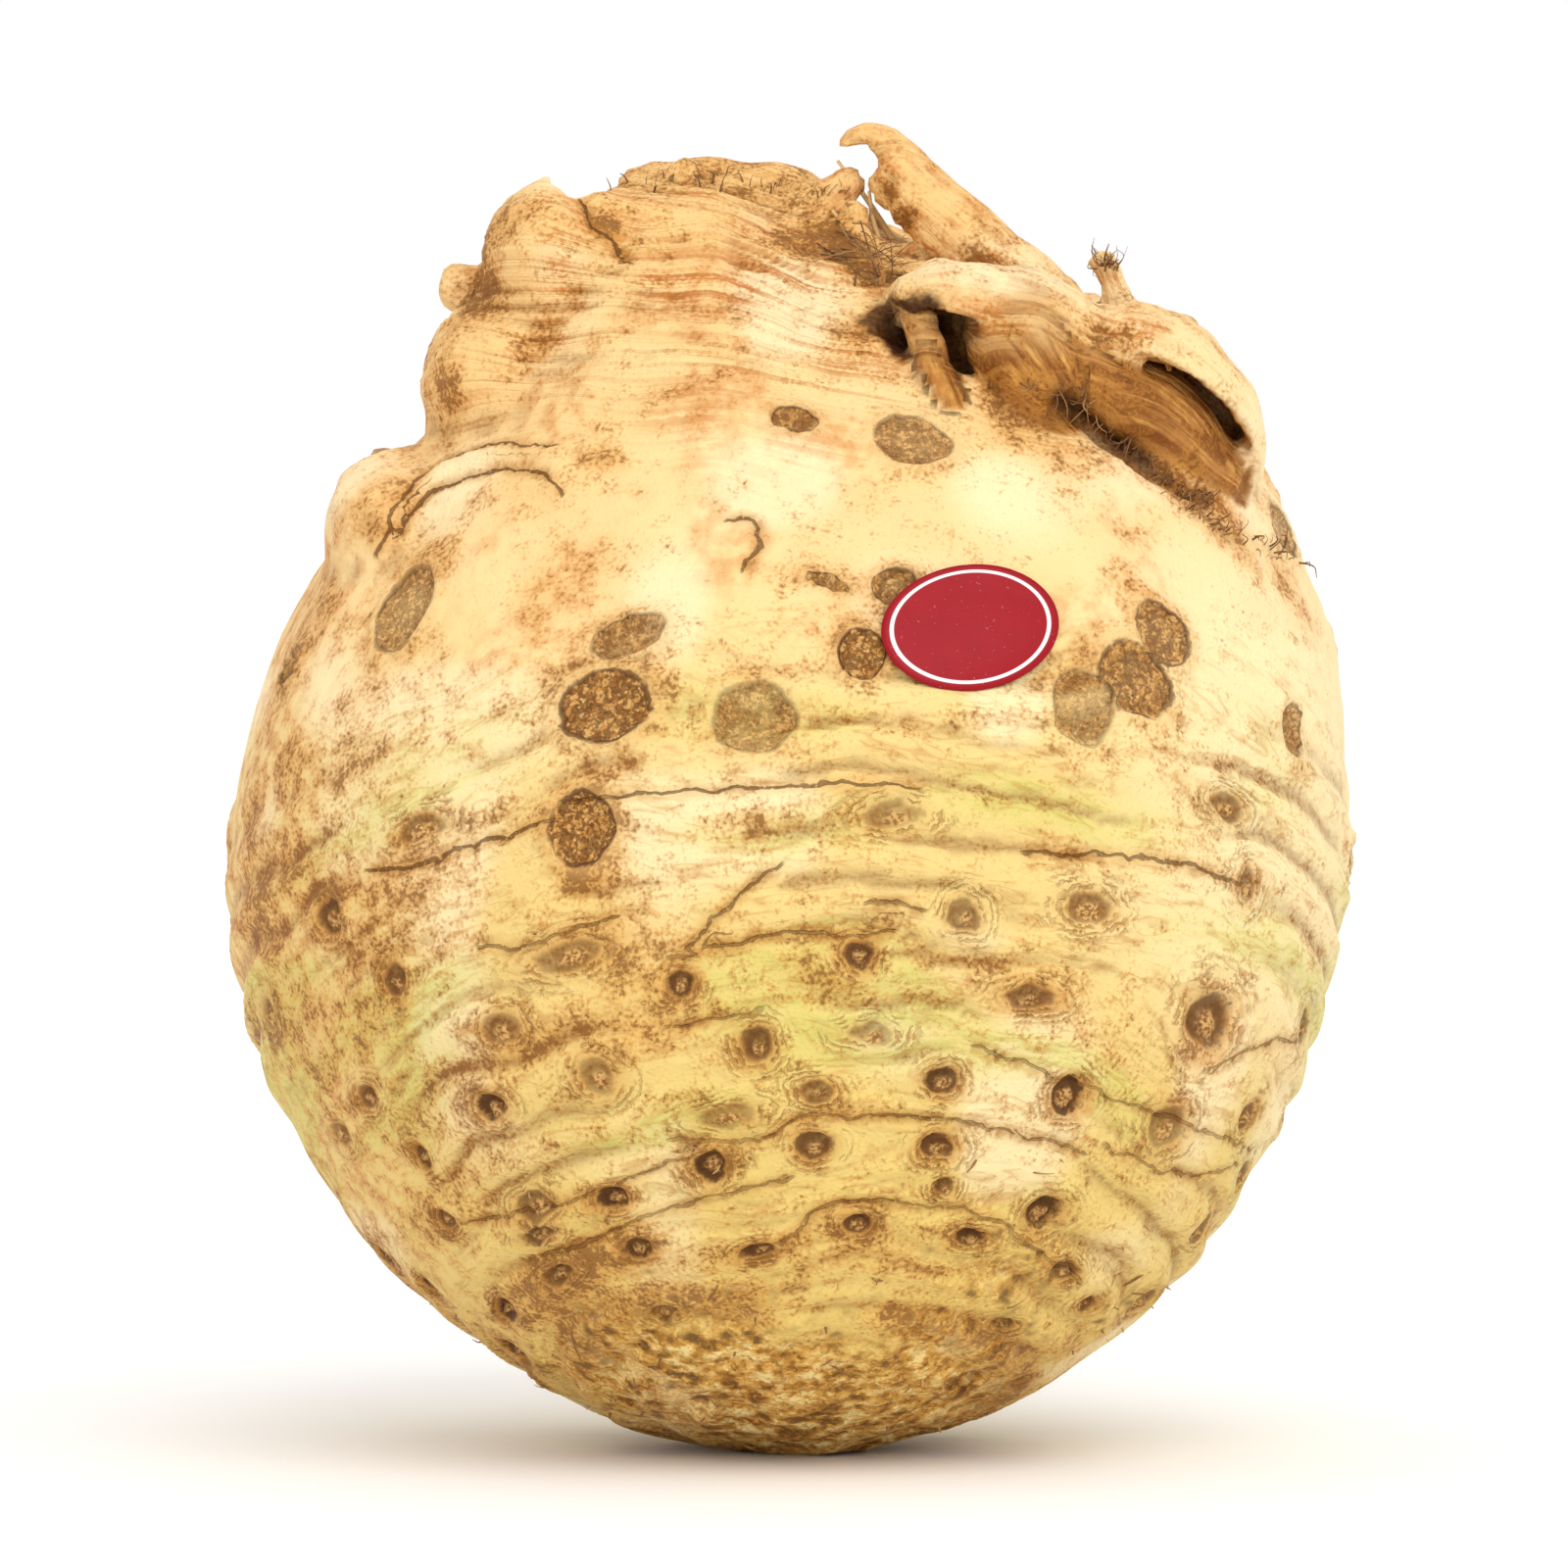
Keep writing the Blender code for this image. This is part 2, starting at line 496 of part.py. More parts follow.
def flat_spot_cutter():
    """The block whose top is the floor: what the root has below that is cut off."""
    block = ellipsoid("flat_spot_cutter", (0, 0, 0), (1, 1, 1), subdivisions=1)
    shape = bmesh.new()
    size = Matrix.Diagonal((FOOT_WIDTH * MM, FOOT_WIDTH * MM, FOOT_DEPTH * MM, 1))
    bmesh.ops.create_cube(shape, size=1, matrix=Matrix.Translation((0, 0, -FOOT_DEPTH / 2 * MM)) @ size)
    shape.to_mesh(block.data)
    shape.free()
    block.hide_render = True
    block.display_type = "WIRE"
    return block


def grown_shape():
    """The bulb and its crown as one even mesh, before the fine relief."""
    knobs = [ellipsoid(name, *facts) for name, facts in KNOBS.items()]
    solid = joined("solid", [bulb()] + knobs, SOLID_BLEND)
    tree = surface_tree(solid)
    crevice = [seen_point(tree, x, z)[0] for x, z in CREVICE]
    cutters = [limb(name, *facts) for name, facts in GROOVES.items()]
    cut_away(solid, cutters + [limb("crevice", crevice, CREVICE_RADII)])
    tree = surface_tree(solid)
    vein = [seen_point(tree, x, z)[0] for x, z in SHOULDER_VEIN]
    pieces = [solid, limb("shoulder_vein", vein, [VEIN_RADIUS] * len(vein), stations=40, sides=8)]
    pieces += [limb(name, *facts) for name, facts in LIMBS.items()]
    pieces += [sheath(name, *facts) for name, facts in SHEATHS.items()]
    return joined("celeriac_root", pieces, SHELL_BLEND)


def celeriac_root():
    """The whole root as one solid, with its scars, rings and root end, in fewer faces, on a flat spot."""
    root = grown_shape()
    tree = surface_tree(root)
    leaf, small = front_scars(tree)
    more_leaf, more_small = hidden_scars(tree, leaf + small)
    points, normals = read_points(root), read_normals(root)
    height = growth_rings(points) + root_end(points) + crown_roughness(points)
    height += raise_scars(points, leaf + more_leaf, leaf_scar_relief)
    height += raise_scars(points, small + more_small, root_scar_relief)
    write_points(root, points + normals * height[:, None])

    fewer = root.modifiers.new("fewer_faces", "DECIMATE")
    fewer.ratio = FACES_KEPT / (2 * len(root.data.polygons))
    fewer.use_collapse_triangulate = True
    settle(root)
    foot = root.modifiers.new("flat_spot", "BOOLEAN")
    foot.operation = "DIFFERENCE"
    foot.object = flat_spot_cutter()
    root.data.materials.append(flesh_material("root_skin", (0.78, 0.60, 0.30), 0.6))
    root.data.shade_smooth()
    return root


def disc_faces(rings, sides):
    """Faces of a closed sheet between two discs, each a middle point with rings of points round it."""
    count = 1 + rings * sides
    last = count - sides
    top, wall = [], []
    for s in range(sides):
        e = (s + 1) % sides
        top.append((0, 1 + s, 1 + e))
        wall.append((last + s, last + s + count, last + e + count, last + e))
        for ring in range(rings - 1):
            first = 1 + ring * sides
            top.append((first + s, first + sides + s, first + sides + e, first + e))
    return [tuple(i + count for i in face) for face in top] + [face[::-1] for face in top] + wall


def skin_heights(tree, places, normal):
    """How high the skin stands over each place of a plane, along the plane's normal."""
    over = places + STICKER_REACH * normal
    return np.array([STICKER_REACH - tree.ray_cast(Vector(p), Vector(-normal))[3] for p in over])


def produce_sticker(root):
    """A plain oval sticker on the right of the root's front: a thin sheet that curves with the skin."""
    tree = surface_tree(root)
    place, normal = seen_point(tree, *STICKER_PLACE)
    level = unit(np.cross((0.0, 0.0, 1.0), normal))
    turn = math.radians(STICKER_TILT)
    u = math.cos(turn) * level + math.sin(turn) * np.cross(normal, level)
    v = np.cross(normal, u)
    rings, sides = 6, 40
    turns = np.linspace(0, 2 * math.pi, sides, endpoint=False)
    reach = np.linspace(0, 1, rings + 1)[1:]
    a = np.concatenate([[0], np.outer(reach, np.cos(turns)).ravel()]) * STICKER_WIDTH / 2
    b = np.concatenate([[0], np.outer(reach, np.sin(turns)).ravel()]) * STICKER_HEIGHT / 2
    flat = place + np.outer(a, u) + np.outer(b, v)
    height = skin_heights(tree, flat, normal)
    terms = np.stack([np.ones_like(a), a, b, a * a, a * b, b * b], 1)
    curve = terms @ np.linalg.lstsq(terms, height, rcond=None)[0]
    curve += (height - curve).max() + STICKER_GAP
    under = flat + np.outer(curve, normal)
    over = flat + np.outer(curve + STICKER_THICKNESS, normal)
    sticker = new_object("produce_sticker", np.concatenate([under, over]), disc_faces(rings, sides))
    face_outwards(sticker)
    sticker.data.materials.append(flesh_material("sticker_film", (0.55, 0.02, 0.04), 0.35))
    return sticker


def main():
    for old in list(bpy.data.objects):
        bpy.data.objects.remove(old)
    root = celeriac_root()
    produce_sticker(root)


main()
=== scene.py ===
"""The looks of a celeriac root: the same grown shape as its solid, at a finer grain, with corky skin, scars,
dry fibres, cut rootlets and a plain oval sticker, on a pale floor in soft light.

Places and sizes are in millimetres unless a name says otherwise, and become metres where a mesh is written.
Colours are 8-bit screen values, and become linear where a shader takes them.
"""

import math
from types import SimpleNamespace

import bmesh
import bpy
import numpy as np
from mathutils import Matrix, Vector
from mathutils.bvhtree import BVHTree


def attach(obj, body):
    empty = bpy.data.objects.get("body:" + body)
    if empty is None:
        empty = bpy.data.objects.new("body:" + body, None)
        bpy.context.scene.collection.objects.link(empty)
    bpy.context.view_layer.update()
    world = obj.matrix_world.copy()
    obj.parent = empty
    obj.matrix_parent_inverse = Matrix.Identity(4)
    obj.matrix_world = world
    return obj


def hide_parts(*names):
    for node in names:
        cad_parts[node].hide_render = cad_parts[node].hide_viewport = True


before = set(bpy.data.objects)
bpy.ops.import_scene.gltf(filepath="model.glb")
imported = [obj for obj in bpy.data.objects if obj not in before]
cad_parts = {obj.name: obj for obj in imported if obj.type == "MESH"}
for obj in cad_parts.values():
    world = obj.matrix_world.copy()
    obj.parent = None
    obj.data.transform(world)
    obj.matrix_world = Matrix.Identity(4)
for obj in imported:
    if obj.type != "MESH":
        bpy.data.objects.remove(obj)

MM = 0.001
CENTRE = np.array((0.0, 0.0, 63.0))  # the bulb's middle, above the flat spot
LEAN = math.radians(24)  # the root end points this far forward from straight down
ROOT_POLE = np.array((0.06, -math.sin(LEAN), -math.cos(LEAN)))
EYE = np.array((0.0, -1150.0, 105.0))  # the camera: places on the front are given as it sees them, in y = 0
AIM = np.array((-0.5, 0.0, 73.9))
SEEN_HEIGHT = 174.4  # of the picture, in the plane y = 0

# The bulb's radius from CENTRE, by elevation in degrees, seen towards the right, left, front and back.
RIGHT = ((-90, 63.6), (-75, 63.0), (-60, 61.9), (-45, 61.6), (-30, 61.0), (0, 62.2), (18, 64.4), (32, 67.2),
         (45, 71.8), (54, 74.2), (65, 72.6), (78, 72.0), (90, 76.0))
LEFT = ((-90, 63.6), (-75, 62.8), (-60, 61.4), (-45, 61.6), (-30, 61.4), (0, 62.7), (20, 62.0), (30, 62.0),
        (45, 63.0), (55, 65.0), (64, 70.5), (72, 76.0), (80, 78.5), (90, 76.0))
FRONT = ((-90, 63.7), (-75, 63.0), (-60, 62.4), (-30, 60.0), (0, 58.5), (30, 57.0), (45, 58.0),
         (60, 62.5), (75, 70.5), (90, 76.0))
BACK = ((-90, 63.7), (-75, 64.0), (-60, 62.6), (-30, 60.0), (0, 61.0), (20, 64.0), (40, 70.0),
        (55, 74.0), (70, 75.5), (90, 76.0))

SOLID_VOXEL = 1.0  # the size that the bulb and its knobs are remeshed to
SKIN_VOXEL = 0.92  # and the finished root
SOLID_BLEND = 24  # smoothing steps, at a voxel of 1 mm, where solid shapes run into each other
SHELL_BLEND = 2  # and where the thin leaf bases do

# Layers of unevenness: height, width of the lumps, and a seed.
SWELLS = ((0.9, 26, 1), (0.5, 12, 2))
RING_WANDER = ((3.0, 22, 3), (1.2, 9, 4))  # its heights are in degrees
ROOT_END_LUMPS = ((0.55, 3.2, 6), (0.45, 6, 7), (0.25, 1.7, 13))
CROWN_LUMPS = ((0.5, 3.5, 8), (0.3, 7, 9))
CROWN_STREAKS = ((0.35, 1.9, 14),)  # drawn out along the fibres
SHOULDER_LUMPS = ((0.5, 10, 10), (0.15, 3, 15))
STAIN_CRUMBS = ((0.4, 1.8, 16),)
CROWN_HEIGHTS = (108, 124)  # the crown's roughness begins at the first and is full at the second
SHOULDER_HEIGHTS = (70, 95)
ROOT_END = (12, 30)  # degrees from the root pole: it is full inside the first and gone at the second
RING_SPACING = 6.4  # degrees between growth rings
RING_HEIGHT = 0.5
FINE_RING_SPACING = 2.9
FINE_RING_HEIGHT = 0.2
FIRST_RINGS = (8, 25)  # degrees from the root pole over which the rings rise
LAST_RINGS = (84, 104)  # and over which they fade
SCAR_WARP = 0.45  # how far the outlines of scars and cracks wander
WARP_SIZE = 2.4  # and over what width
WARP_SEEDS = (41, 42, 43)
RING_PARTING = 0.8  # degrees by which the rings part round a root scar, for each millimetre from it
PARTING_REACH = (2.4, 1.8)  # in scar radii, along and across the rings
LEAF_SCAR_RIM = 0.5  # height of the rim
LEAF_SCAR_DEPTH = 0.45  # of the disc inside it
ROOT_SCAR_MOUND = 0.45
PIT_DEPTHS = (0.35, 1.5)  # in the faintest and the darkest root scars
STUB_HEIGHT = 0.7
CRACK_DEPTH = 0.38
CRACK_LIP = 0.14  # height of the raised edge beside a crack
RING_STRETCH = 0.28  # how far streaks along the rings are squeezed
DEGREE_WIDTH = 1.08  # of the streaks' coordinates, across the rings
FIBRE_STRETCH = 0.16  # the same along the crown's fibres
FIBRE_TWIST = 14  # rise in which the fibres turn by one radian
FIBRE_ROUND = 30  # radius at which their turn is measured
CROWN_TONES = (104, 122)  # heights between which the skin takes on the crown's colours
DEPTH_STEPS = (2, 10, 41)  # smoothing steps that tell the fine, middle and broad hollows of the skin
CROWN_BASE = 98  # height over which the leaf bases and their hollows are looked for
SPINE_STATIONS = 24  # places along a spine that points are measured from

# Shapes of the crown: knobs are (centre, radii), limbs are (spine, radii), sheaths add the way their backs
# face, the arc in degrees and the wall.
KNOBS = {
    "neck": ((-14, -2, 122), (22, 20, 18.6)),
    "left_leaf_base": ((-25.0, -8, 131.5), (8.8, 12, 9.8)),
    "lower_left_leaf_base": ((-31.6, -8, 118.8), (9.2, 13, 8.6)),
    "left_shoulder_scale": ((-43.2, -8, 101.8), (8.4, 16, 9.2)),
    "crown_front_rim": ((-8, 1, 135.6), (17, 8, 8.0)),
    "rear_rim": ((-4, 28, 130), (24, 10, 9)),
    "rear_right_rim": ((24, 22, 123), (12, 14, 10)),
}
GROOVES = {
    "under_lip": (((10, -24, 125), (14, -23.5, 124.8), (19, -24.5, 123), (25, -26, 121.5),
                   (31, -26, 120)), (2.2, 4.2, 4.8, 4.2, 2.6)),
    "under_right_sheath": (((31, -24, 121), (36, -23.5, 119.6), (41.4, -22, 117), (46, -20, 113),
                            (49.5, -17, 109)), (3.0, 4.8, 5.4, 4.8, 2.4)),
    "socket": (((13, -36, 124), (13.5, -27, 124.5), (14, -15, 125)), (3.6, 3.9, 3.0)),
    "crown_crater": (((8, 5, 141), (10, 13, 140), (3, 18, 139), (-9, 17, 141)), (6, 10, 10, 7)),
    "crown_gap": (((10.5, -24, 143.5), (12, 0, 142), (13, 20, 142)), (5.0, 6.5, 7)),
    "left_notch": (((-23.6, -24, 142), (-23.2, -8, 141), (-21, 6, 142)), (2.2, 3.4, 3.4)),
    "left_crease": (((-22.8, -14, 140.5), (-21, -18.8, 135.4), (-18.0, -22.4, 130)), (2.4, 2.0, 1.0)),
    "shoulder_notch": (((-42.4, -26, 112.8), (-42.0, -12, 112.4), (-41.0, 2, 113)), (1.4, 2.0, 2.0)),
}
LIMBS = {
    "side_stub": (((-31, -5, 128.8), (-35.5, -5, 129.1), (-38.6, -5, 129.1)), (2.8, 2.2, 2.5)),
    "shoulder_tooth": (((-42.5, -7, 104), (-44.4, -7, 108.5), (-45.2, -7, 111.6)), (4.2, 2.8, 1.2)),
    "frayed_stub": (((38.2, -9, 122), (36.2, -9, 128), (34.2, -9, 132.8)), (3.0, 1.9, 1.6)),
    "ridge_peg": (((-11.8, -4, 137), (-11.5, -4, 140.6), (-11.2, -4, 143.4)), (1.9, 1.4, 0.9)),
    "brown_stub": (((6.6, -9, 130), (7.2, -9, 134.6), (7.4, -9, 138.0)), (2.0, 1.4, 1.1)),
    "inner_petiole": (((14.0, -18, 128.5), (14.0, -23.4, 126), (15.4, -27, 121.4), (17.6, -29.2, 115.4)),
                      (2.4, 2.0, 1.7, 1.9)),
    "inner_fold": (((24, -19, 126), (24.8, -24.8, 123), (27.0, -27.8, 119.6), (29.4, -29, 116)),
                   (5.0, 5.4, 4.8, 3.2)),
    "sheath_fold": (((27.5, -27.0, 120.4), (33, -26.8, 118.2), (38.0, -25.2, 114.8), (42.8, -22.8, 111.0),
                     (48.6, -19.0, 107.0)), (2.8, 3.2, 3.3, 3.2, 2.2)),
    "sheath_lining": (((33, -21.5, 118.8), (38, -21.5, 116.4), (42.4, -20.0, 112.8), (46.8, -17.2, 108.6)),
                      (3.6, 4.7, 4.7, 3.4)),
    "heart_petiole": (((6, 14, 122), (7, 15, 130), (9, 17, 137)), (4.0, 3.2, 2.6)),
    "heart_petiole_left": (((-4, 17, 122), (-6, 18, 130), (-7, 18, 136)), (3.6, 3.0, 2.4)),
    "heart_petiole_right": (((14, 18, 122), (16, 20, 128), (17, 23, 134)), (3.6, 2.8, 2.2)),
}
SHEATHS = {
    "horn": (((30.4, -8, 122), (25.6, -8, 128), (20.2, -7, 133.2), (14.8, -6, 138.2), (11.0, -5, 142.2)),
             (5.4, 4.9, 4.8, 4.3, 3.8), (0.55, -0.68, 0.48), 215, 2.2),
    "horn_tip": (((12.6, -5, 141.4), (10.8, -5, 143.8), (8.4, -5, 145.2), (5.4, -5, 144.3)),
                 (3.6, 3.0, 2.1, 1.2), (0.1, -0.3, 1.0), 200, 1.7),
    "lip": (((10.8, -23.5, 126.6), (15.6, -23, 125.4), (21.4, -22.5, 123.4), (27, -22, 121.2),
             (32, -20.8, 119.4)), (3.2, 6.4, 8.0, 8.2, 6.6), (0.0, 0.5, 0.86), 225, 2.6),
    "right_sheath": (((30.5, -20.5, 119.8), (36, -20, 118.6), (41.6, -19.5, 115.8), (46, -17.5, 111.4),
                      (49.4, -15, 106.5)), (6.4, 8.4, 8.6, 7.0, 3.4), (0.15, 0.66, 0.74), 214, 2.6),
    "ridge_tab": (((0, -3, 131), (3, -4, 136), (6, -4, 139.6), (7.6, -3.6, 141.6)),
                  (4.5, 3.8, 2.6, 1.4), (-0.2, -0.8, 0.5), 190, 1.8),
    "rear_leaf_base": (((-6, 24, 121), (-7, 25, 130), (-10, 28, 138.5)), (14, 13.5, 12),
                       (-0.1, 1, 0.15), 130, 2.8),
    "rear_right_leaf_base": (((12, 20, 119), (14, 21, 127), (16, 23, 133)), (14, 13.5, 12),
                             (0.6, 0.8, 0.2), 110, 2.6),
    "left_rear_leaf_base": (((-13, 13, 123), (-14, 13, 130), (-16, 14, 136)), (14, 13.5, 13),
                            (-1, 0.5, 0.2), 100, 2.6),
    "right_rear_leaf_base": (((13, 8, 116), (15, 8, 122), (17, 8, 127.5)), (14, 14, 13),
                             (1, 0.35, 0.2), 90, 2.6),
}
# Grooves whose walls get painted shade, and how dark that shade is, from 0 to 1.
SHADED_HOLLOWS = {"under_lip": 0.8, "under_right_sheath": 0.1, "socket": 1.0, "crown_crater": 0.5}
# Limbs that dried to an orange brown.
WEATHERED = ("inner_petiole", "inner_fold", "sheath_fold", "sheath_lining")
# The crevice under the lip and the right sheath, as seen from EYE: (x, z), and its width.
CREVICE = ((24.0, 118.0), (30.0, 117.0), (33.8, 114.8), (36.4, 112.2), (39.6, 109.6), (43.4, 107.2),
           (48.0, 105.0))
# Where the crevice is painted black shade.
CREVICE_CORE = CREVICE[1:5]  # where it is black
CREVICE_RADII = (1.2, 1.8, 2.4, 2.4, 2.0, 1.6, 1.1)
# The vein that arches over the left shoulder, as it is seen from EYE: (x, z).
SHOULDER_VEIN = ((-46.5, 97), (-44.5, 103), (-40, 108), (-34, 110.4), (-28, 110.8), (-25, 108.4),
                 (-26.6, 106))
VEIN_RADIUS = 0.9

# Round leaf scars, as seen from EYE: x, z, width, height, tilt in degrees, darkness from 0 to 1.
LEAF_SCARS = (
    (-20.4, 82.4, 10.2, 8.0, 0, 1.0), (-3.8, 81.0, 8.8, 8.0, 0, 0.45), (13.8, 112.0, 8.0, 6.2, -15, 0.65),
    (8.0, 88.3, 5.0, 5.6, 10, 1.0), (12.0, 95.7, 5.6, 4.6, 30, 0.8), (38.4, 85.4, 9.6, 7.4, -35, 0.9),
    (41.4, 90.6, 7.8, 6.2, -35, 0.85), (32.6, 82.4, 7.0, 8.6, 0, 0.4), (-42.5, 93.4, 7.0, 11.0, -20, 0.6),
    (-17.8, 90.4, 8.6, 4.8, 15, 0.4), (4.4, 96.2, 4.6, 1.8, -25, 0.7), (0.8, 114.4, 4.8, 3.0, -15, 0.7),
    (-23.0, 69.0, 7.0, 8.0, 0, 1.0), (56.0, 80.0, 3.6, 6.0, 20, 0.6),
)
# Small root scars, as seen from EYE: x, z, width, height, darkness.
ROOT_SCARS = (
    (-51.0, 59.2, 4.4, 4.8, 0.8), (-43.9, 52.1, 3.4, 4.4, 0.7), (-12.1, 51.8, 3.8, 3.6, 0.9),
    (7.9, 55.0, 3.8, 3.8, 0.9), (19.7, 59.2, 4.2, 3.8, 0.5), (-3.5, 45.0, 4.0, 4.6, 0.7),
    (-31.9, 46.6, 5.6, 4.0, 0.4), (-21.0, 41.4, 4.4, 4.8, 0.4), (-33.0, 37.9, 4.4, 3.8, 1.0),
    (3.1, 39.6, 4.6, 3.0, 0.5), (17.1, 40.7, 4.2, 4.0, 0.9), (31.1, 39.2, 4.8, 4.4, 1.0),
    (2.9, 33.4, 4.2, 3.6, 0.8), (16.7, 33.4, 4.2, 3.6, 0.9), (-8.6, 31.4, 4.8, 4.4, 1.0),
    (-19.5, 27.8, 4.4, 3.2, 1.0), (7.7, 24.9, 3.8, 3.2, 0.9), (20.2, 23.3, 4.6, 3.0, 1.0),
    (28.5, 26.0, 5.0, 4.4, 1.0), (17.5, 28.8, 3.0, 2.4, 0.7), (-3.2, 21.8, 4.0, 2.4, 0.9),
    (-16.9, 22.2, 4.2, 2.8, 0.9), (-31.6, 15.2, 5.4, 3.0, 1.0), (-25.6, 19.4, 6.0, 2.6, 0.7),
    (-28.0, 27.0, 6.4, 3.6, 0.6), (-27.8, 23.8, 5.4, 2.6, 0.8), (-38.2, 25.4, 3.2, 3.0, 0.7),
    (-40.9, 32.5, 3.0, 4.0, 0.8), (-7.1, 36.9, 7.0, 3.0, 0.3), (26.7, 50.2, 6.6, 3.0, 0.6),
    (46.9, 47.6, 8.0, 7.0, 0.8), (50.9, 62.6, 4.0, 4.4, 0.5), (33.3, 60.2, 6.4, 4.0, 0.4),
    (11.7, 70.4, 7.2, 3.2, 0.3), (-40.9, 69.0, 7.4, 3.4, 0.4), (-24.6, 54.8, 9.6, 3.8, 0.4),
    (42.0, 35.8, 7.0, 5.6, 0.5), (33.2, 16.0, 3.6, 3.0, 0.8), (30.5, 20.0, 4.6, 3.0, 0.7),
    (48.6, 71.4, 6.4, 3.2, 0.5), (-47.0, 39.0, 4.4, 3.2, 0.6), (9.0, 46.0, 6.0, 2.6, 0.3),
    (24.0, 13.5, 4.0, 2.6, 0.8), (-14.0, 15.0, 4.0, 2.4, 0.8),
)
# Scars over the sides, back and underside, where the front view doesn't reach.
HIDDEN_SCARS = 230  # how many places are tried
SEED = 7
HIDDEN_FROM_POLE = (14, 142)  # degrees
ROOT_SCARS_END = 68.75  # degrees from the root pole where the small scars stop being close together
LEAF_SCARS_START = 85.94  # and where the leaf scars begin
CLOSE = 7.5  # the least distance between two scars near the root end
APART = 13.0  # and over the shoulders
FACING_FRONT = -0.42  # a scar whose normal's y is less than this is in the front view
SCAR_SHARES = (0.65, 1.3)  # least and most of the sizes that follow
FAINTEST_SCAR = 0.35
ROOT_SCAR_SIZE = (4.4, 3.6)
LEAF_SCAR_SIZE = (8.0, 6.6)
SCAR_REACH = 6.0  # how far under or over its place a scar still marks the skin
FAR_FROM_SCAR = 3.0  # in scar radii: distances are told up to this
STUB_PLACE = (0.08, -0.2)  # of a cut rootlet's stub in its pit, in scar radii
# Long cracks that run with the growth rings, as seen from EYE: (x, z). The last three are lines of painted
# shade: along the crown's left crease and both sides of the shoulder vein.
CRACKS_AND_SHADE_LINES = (
    ((-23.4, 72.2), (-17, 72.9), (-9, 73.3), (-0.5, 73.9), (7, 73.8), (13.6, 73.6)),
    ((-46.3, 64.1), (-40, 65.4), (-33, 67.8), (-26.7, 69.5)),
    ((26.7, 66.3), (35, 66.1), (43, 65.2), (49.6, 63.0)),
    ((-12.5, 54.8), (-6, 56.4), (0, 57.3), (5, 57.0), (11, 57.6)),
    ((-35.4, 24.9), (-28, 26.5), (-20, 29.2), (-11.4, 32.5)),
    ((21.3, 44.5), (32, 40.5), (44, 36.0), (54, 32.5)),
    ((-34.1, 56), (-30.4, 55.5), (-24.4, 57.7), (-19.7, 59)),
    ((-12.8, 46.7), (-8.7, 47.6), (-4, 48.9)),
    ((-11.4, 55.7), (-6.8, 60.3), (-1.4, 64.6)),
    ((9.3, 60.7), (12, 60.6), (14.3, 59.9)),
    ((-12.4, 34.3), (-3.5, 34.3), (2.6, 37), (10, 36.6), (18.3, 36.3), (32.2, 33.2)),
    ((-26.7, 21.3), (-15.5, 25.7), (-7.2, 28.3), (-0.4, 29.9)),
    ((-0.4, 23.1), (5.6, 27.3), (15.7, 26.8), (22.1, 25.7), (31.8, 19.4)),
    ((35.4, 33.6), (43, 30.3), (49.6, 31.4)),
    ((47.4, 42.3), (52, 44.5), (56, 45.6)),
    ((-6.2, 103.1), (-4.4, 103.3), (-3.2, 101.7), (-3.4, 99.5), (-4.7, 97.9)),
    # Painted shade: the crown's left crease, then both sides of the shoulder vein.
    ((-23.0, 138.2), (-21.8, 136.0), (-19.4, 134.0), (-18.0, 132.2)),
    ((-43.2, 102.0), (-40.6, 105.6), (-36.0, 108.0), (-31.0, 109.0), (-27.2, 108.2), (-25.4, 106.4)),
    ((-45.6, 100.0), (-42.6, 106.4), (-37.6, 110.2), (-31.6, 111.8), (-26.4, 111.4)),
)
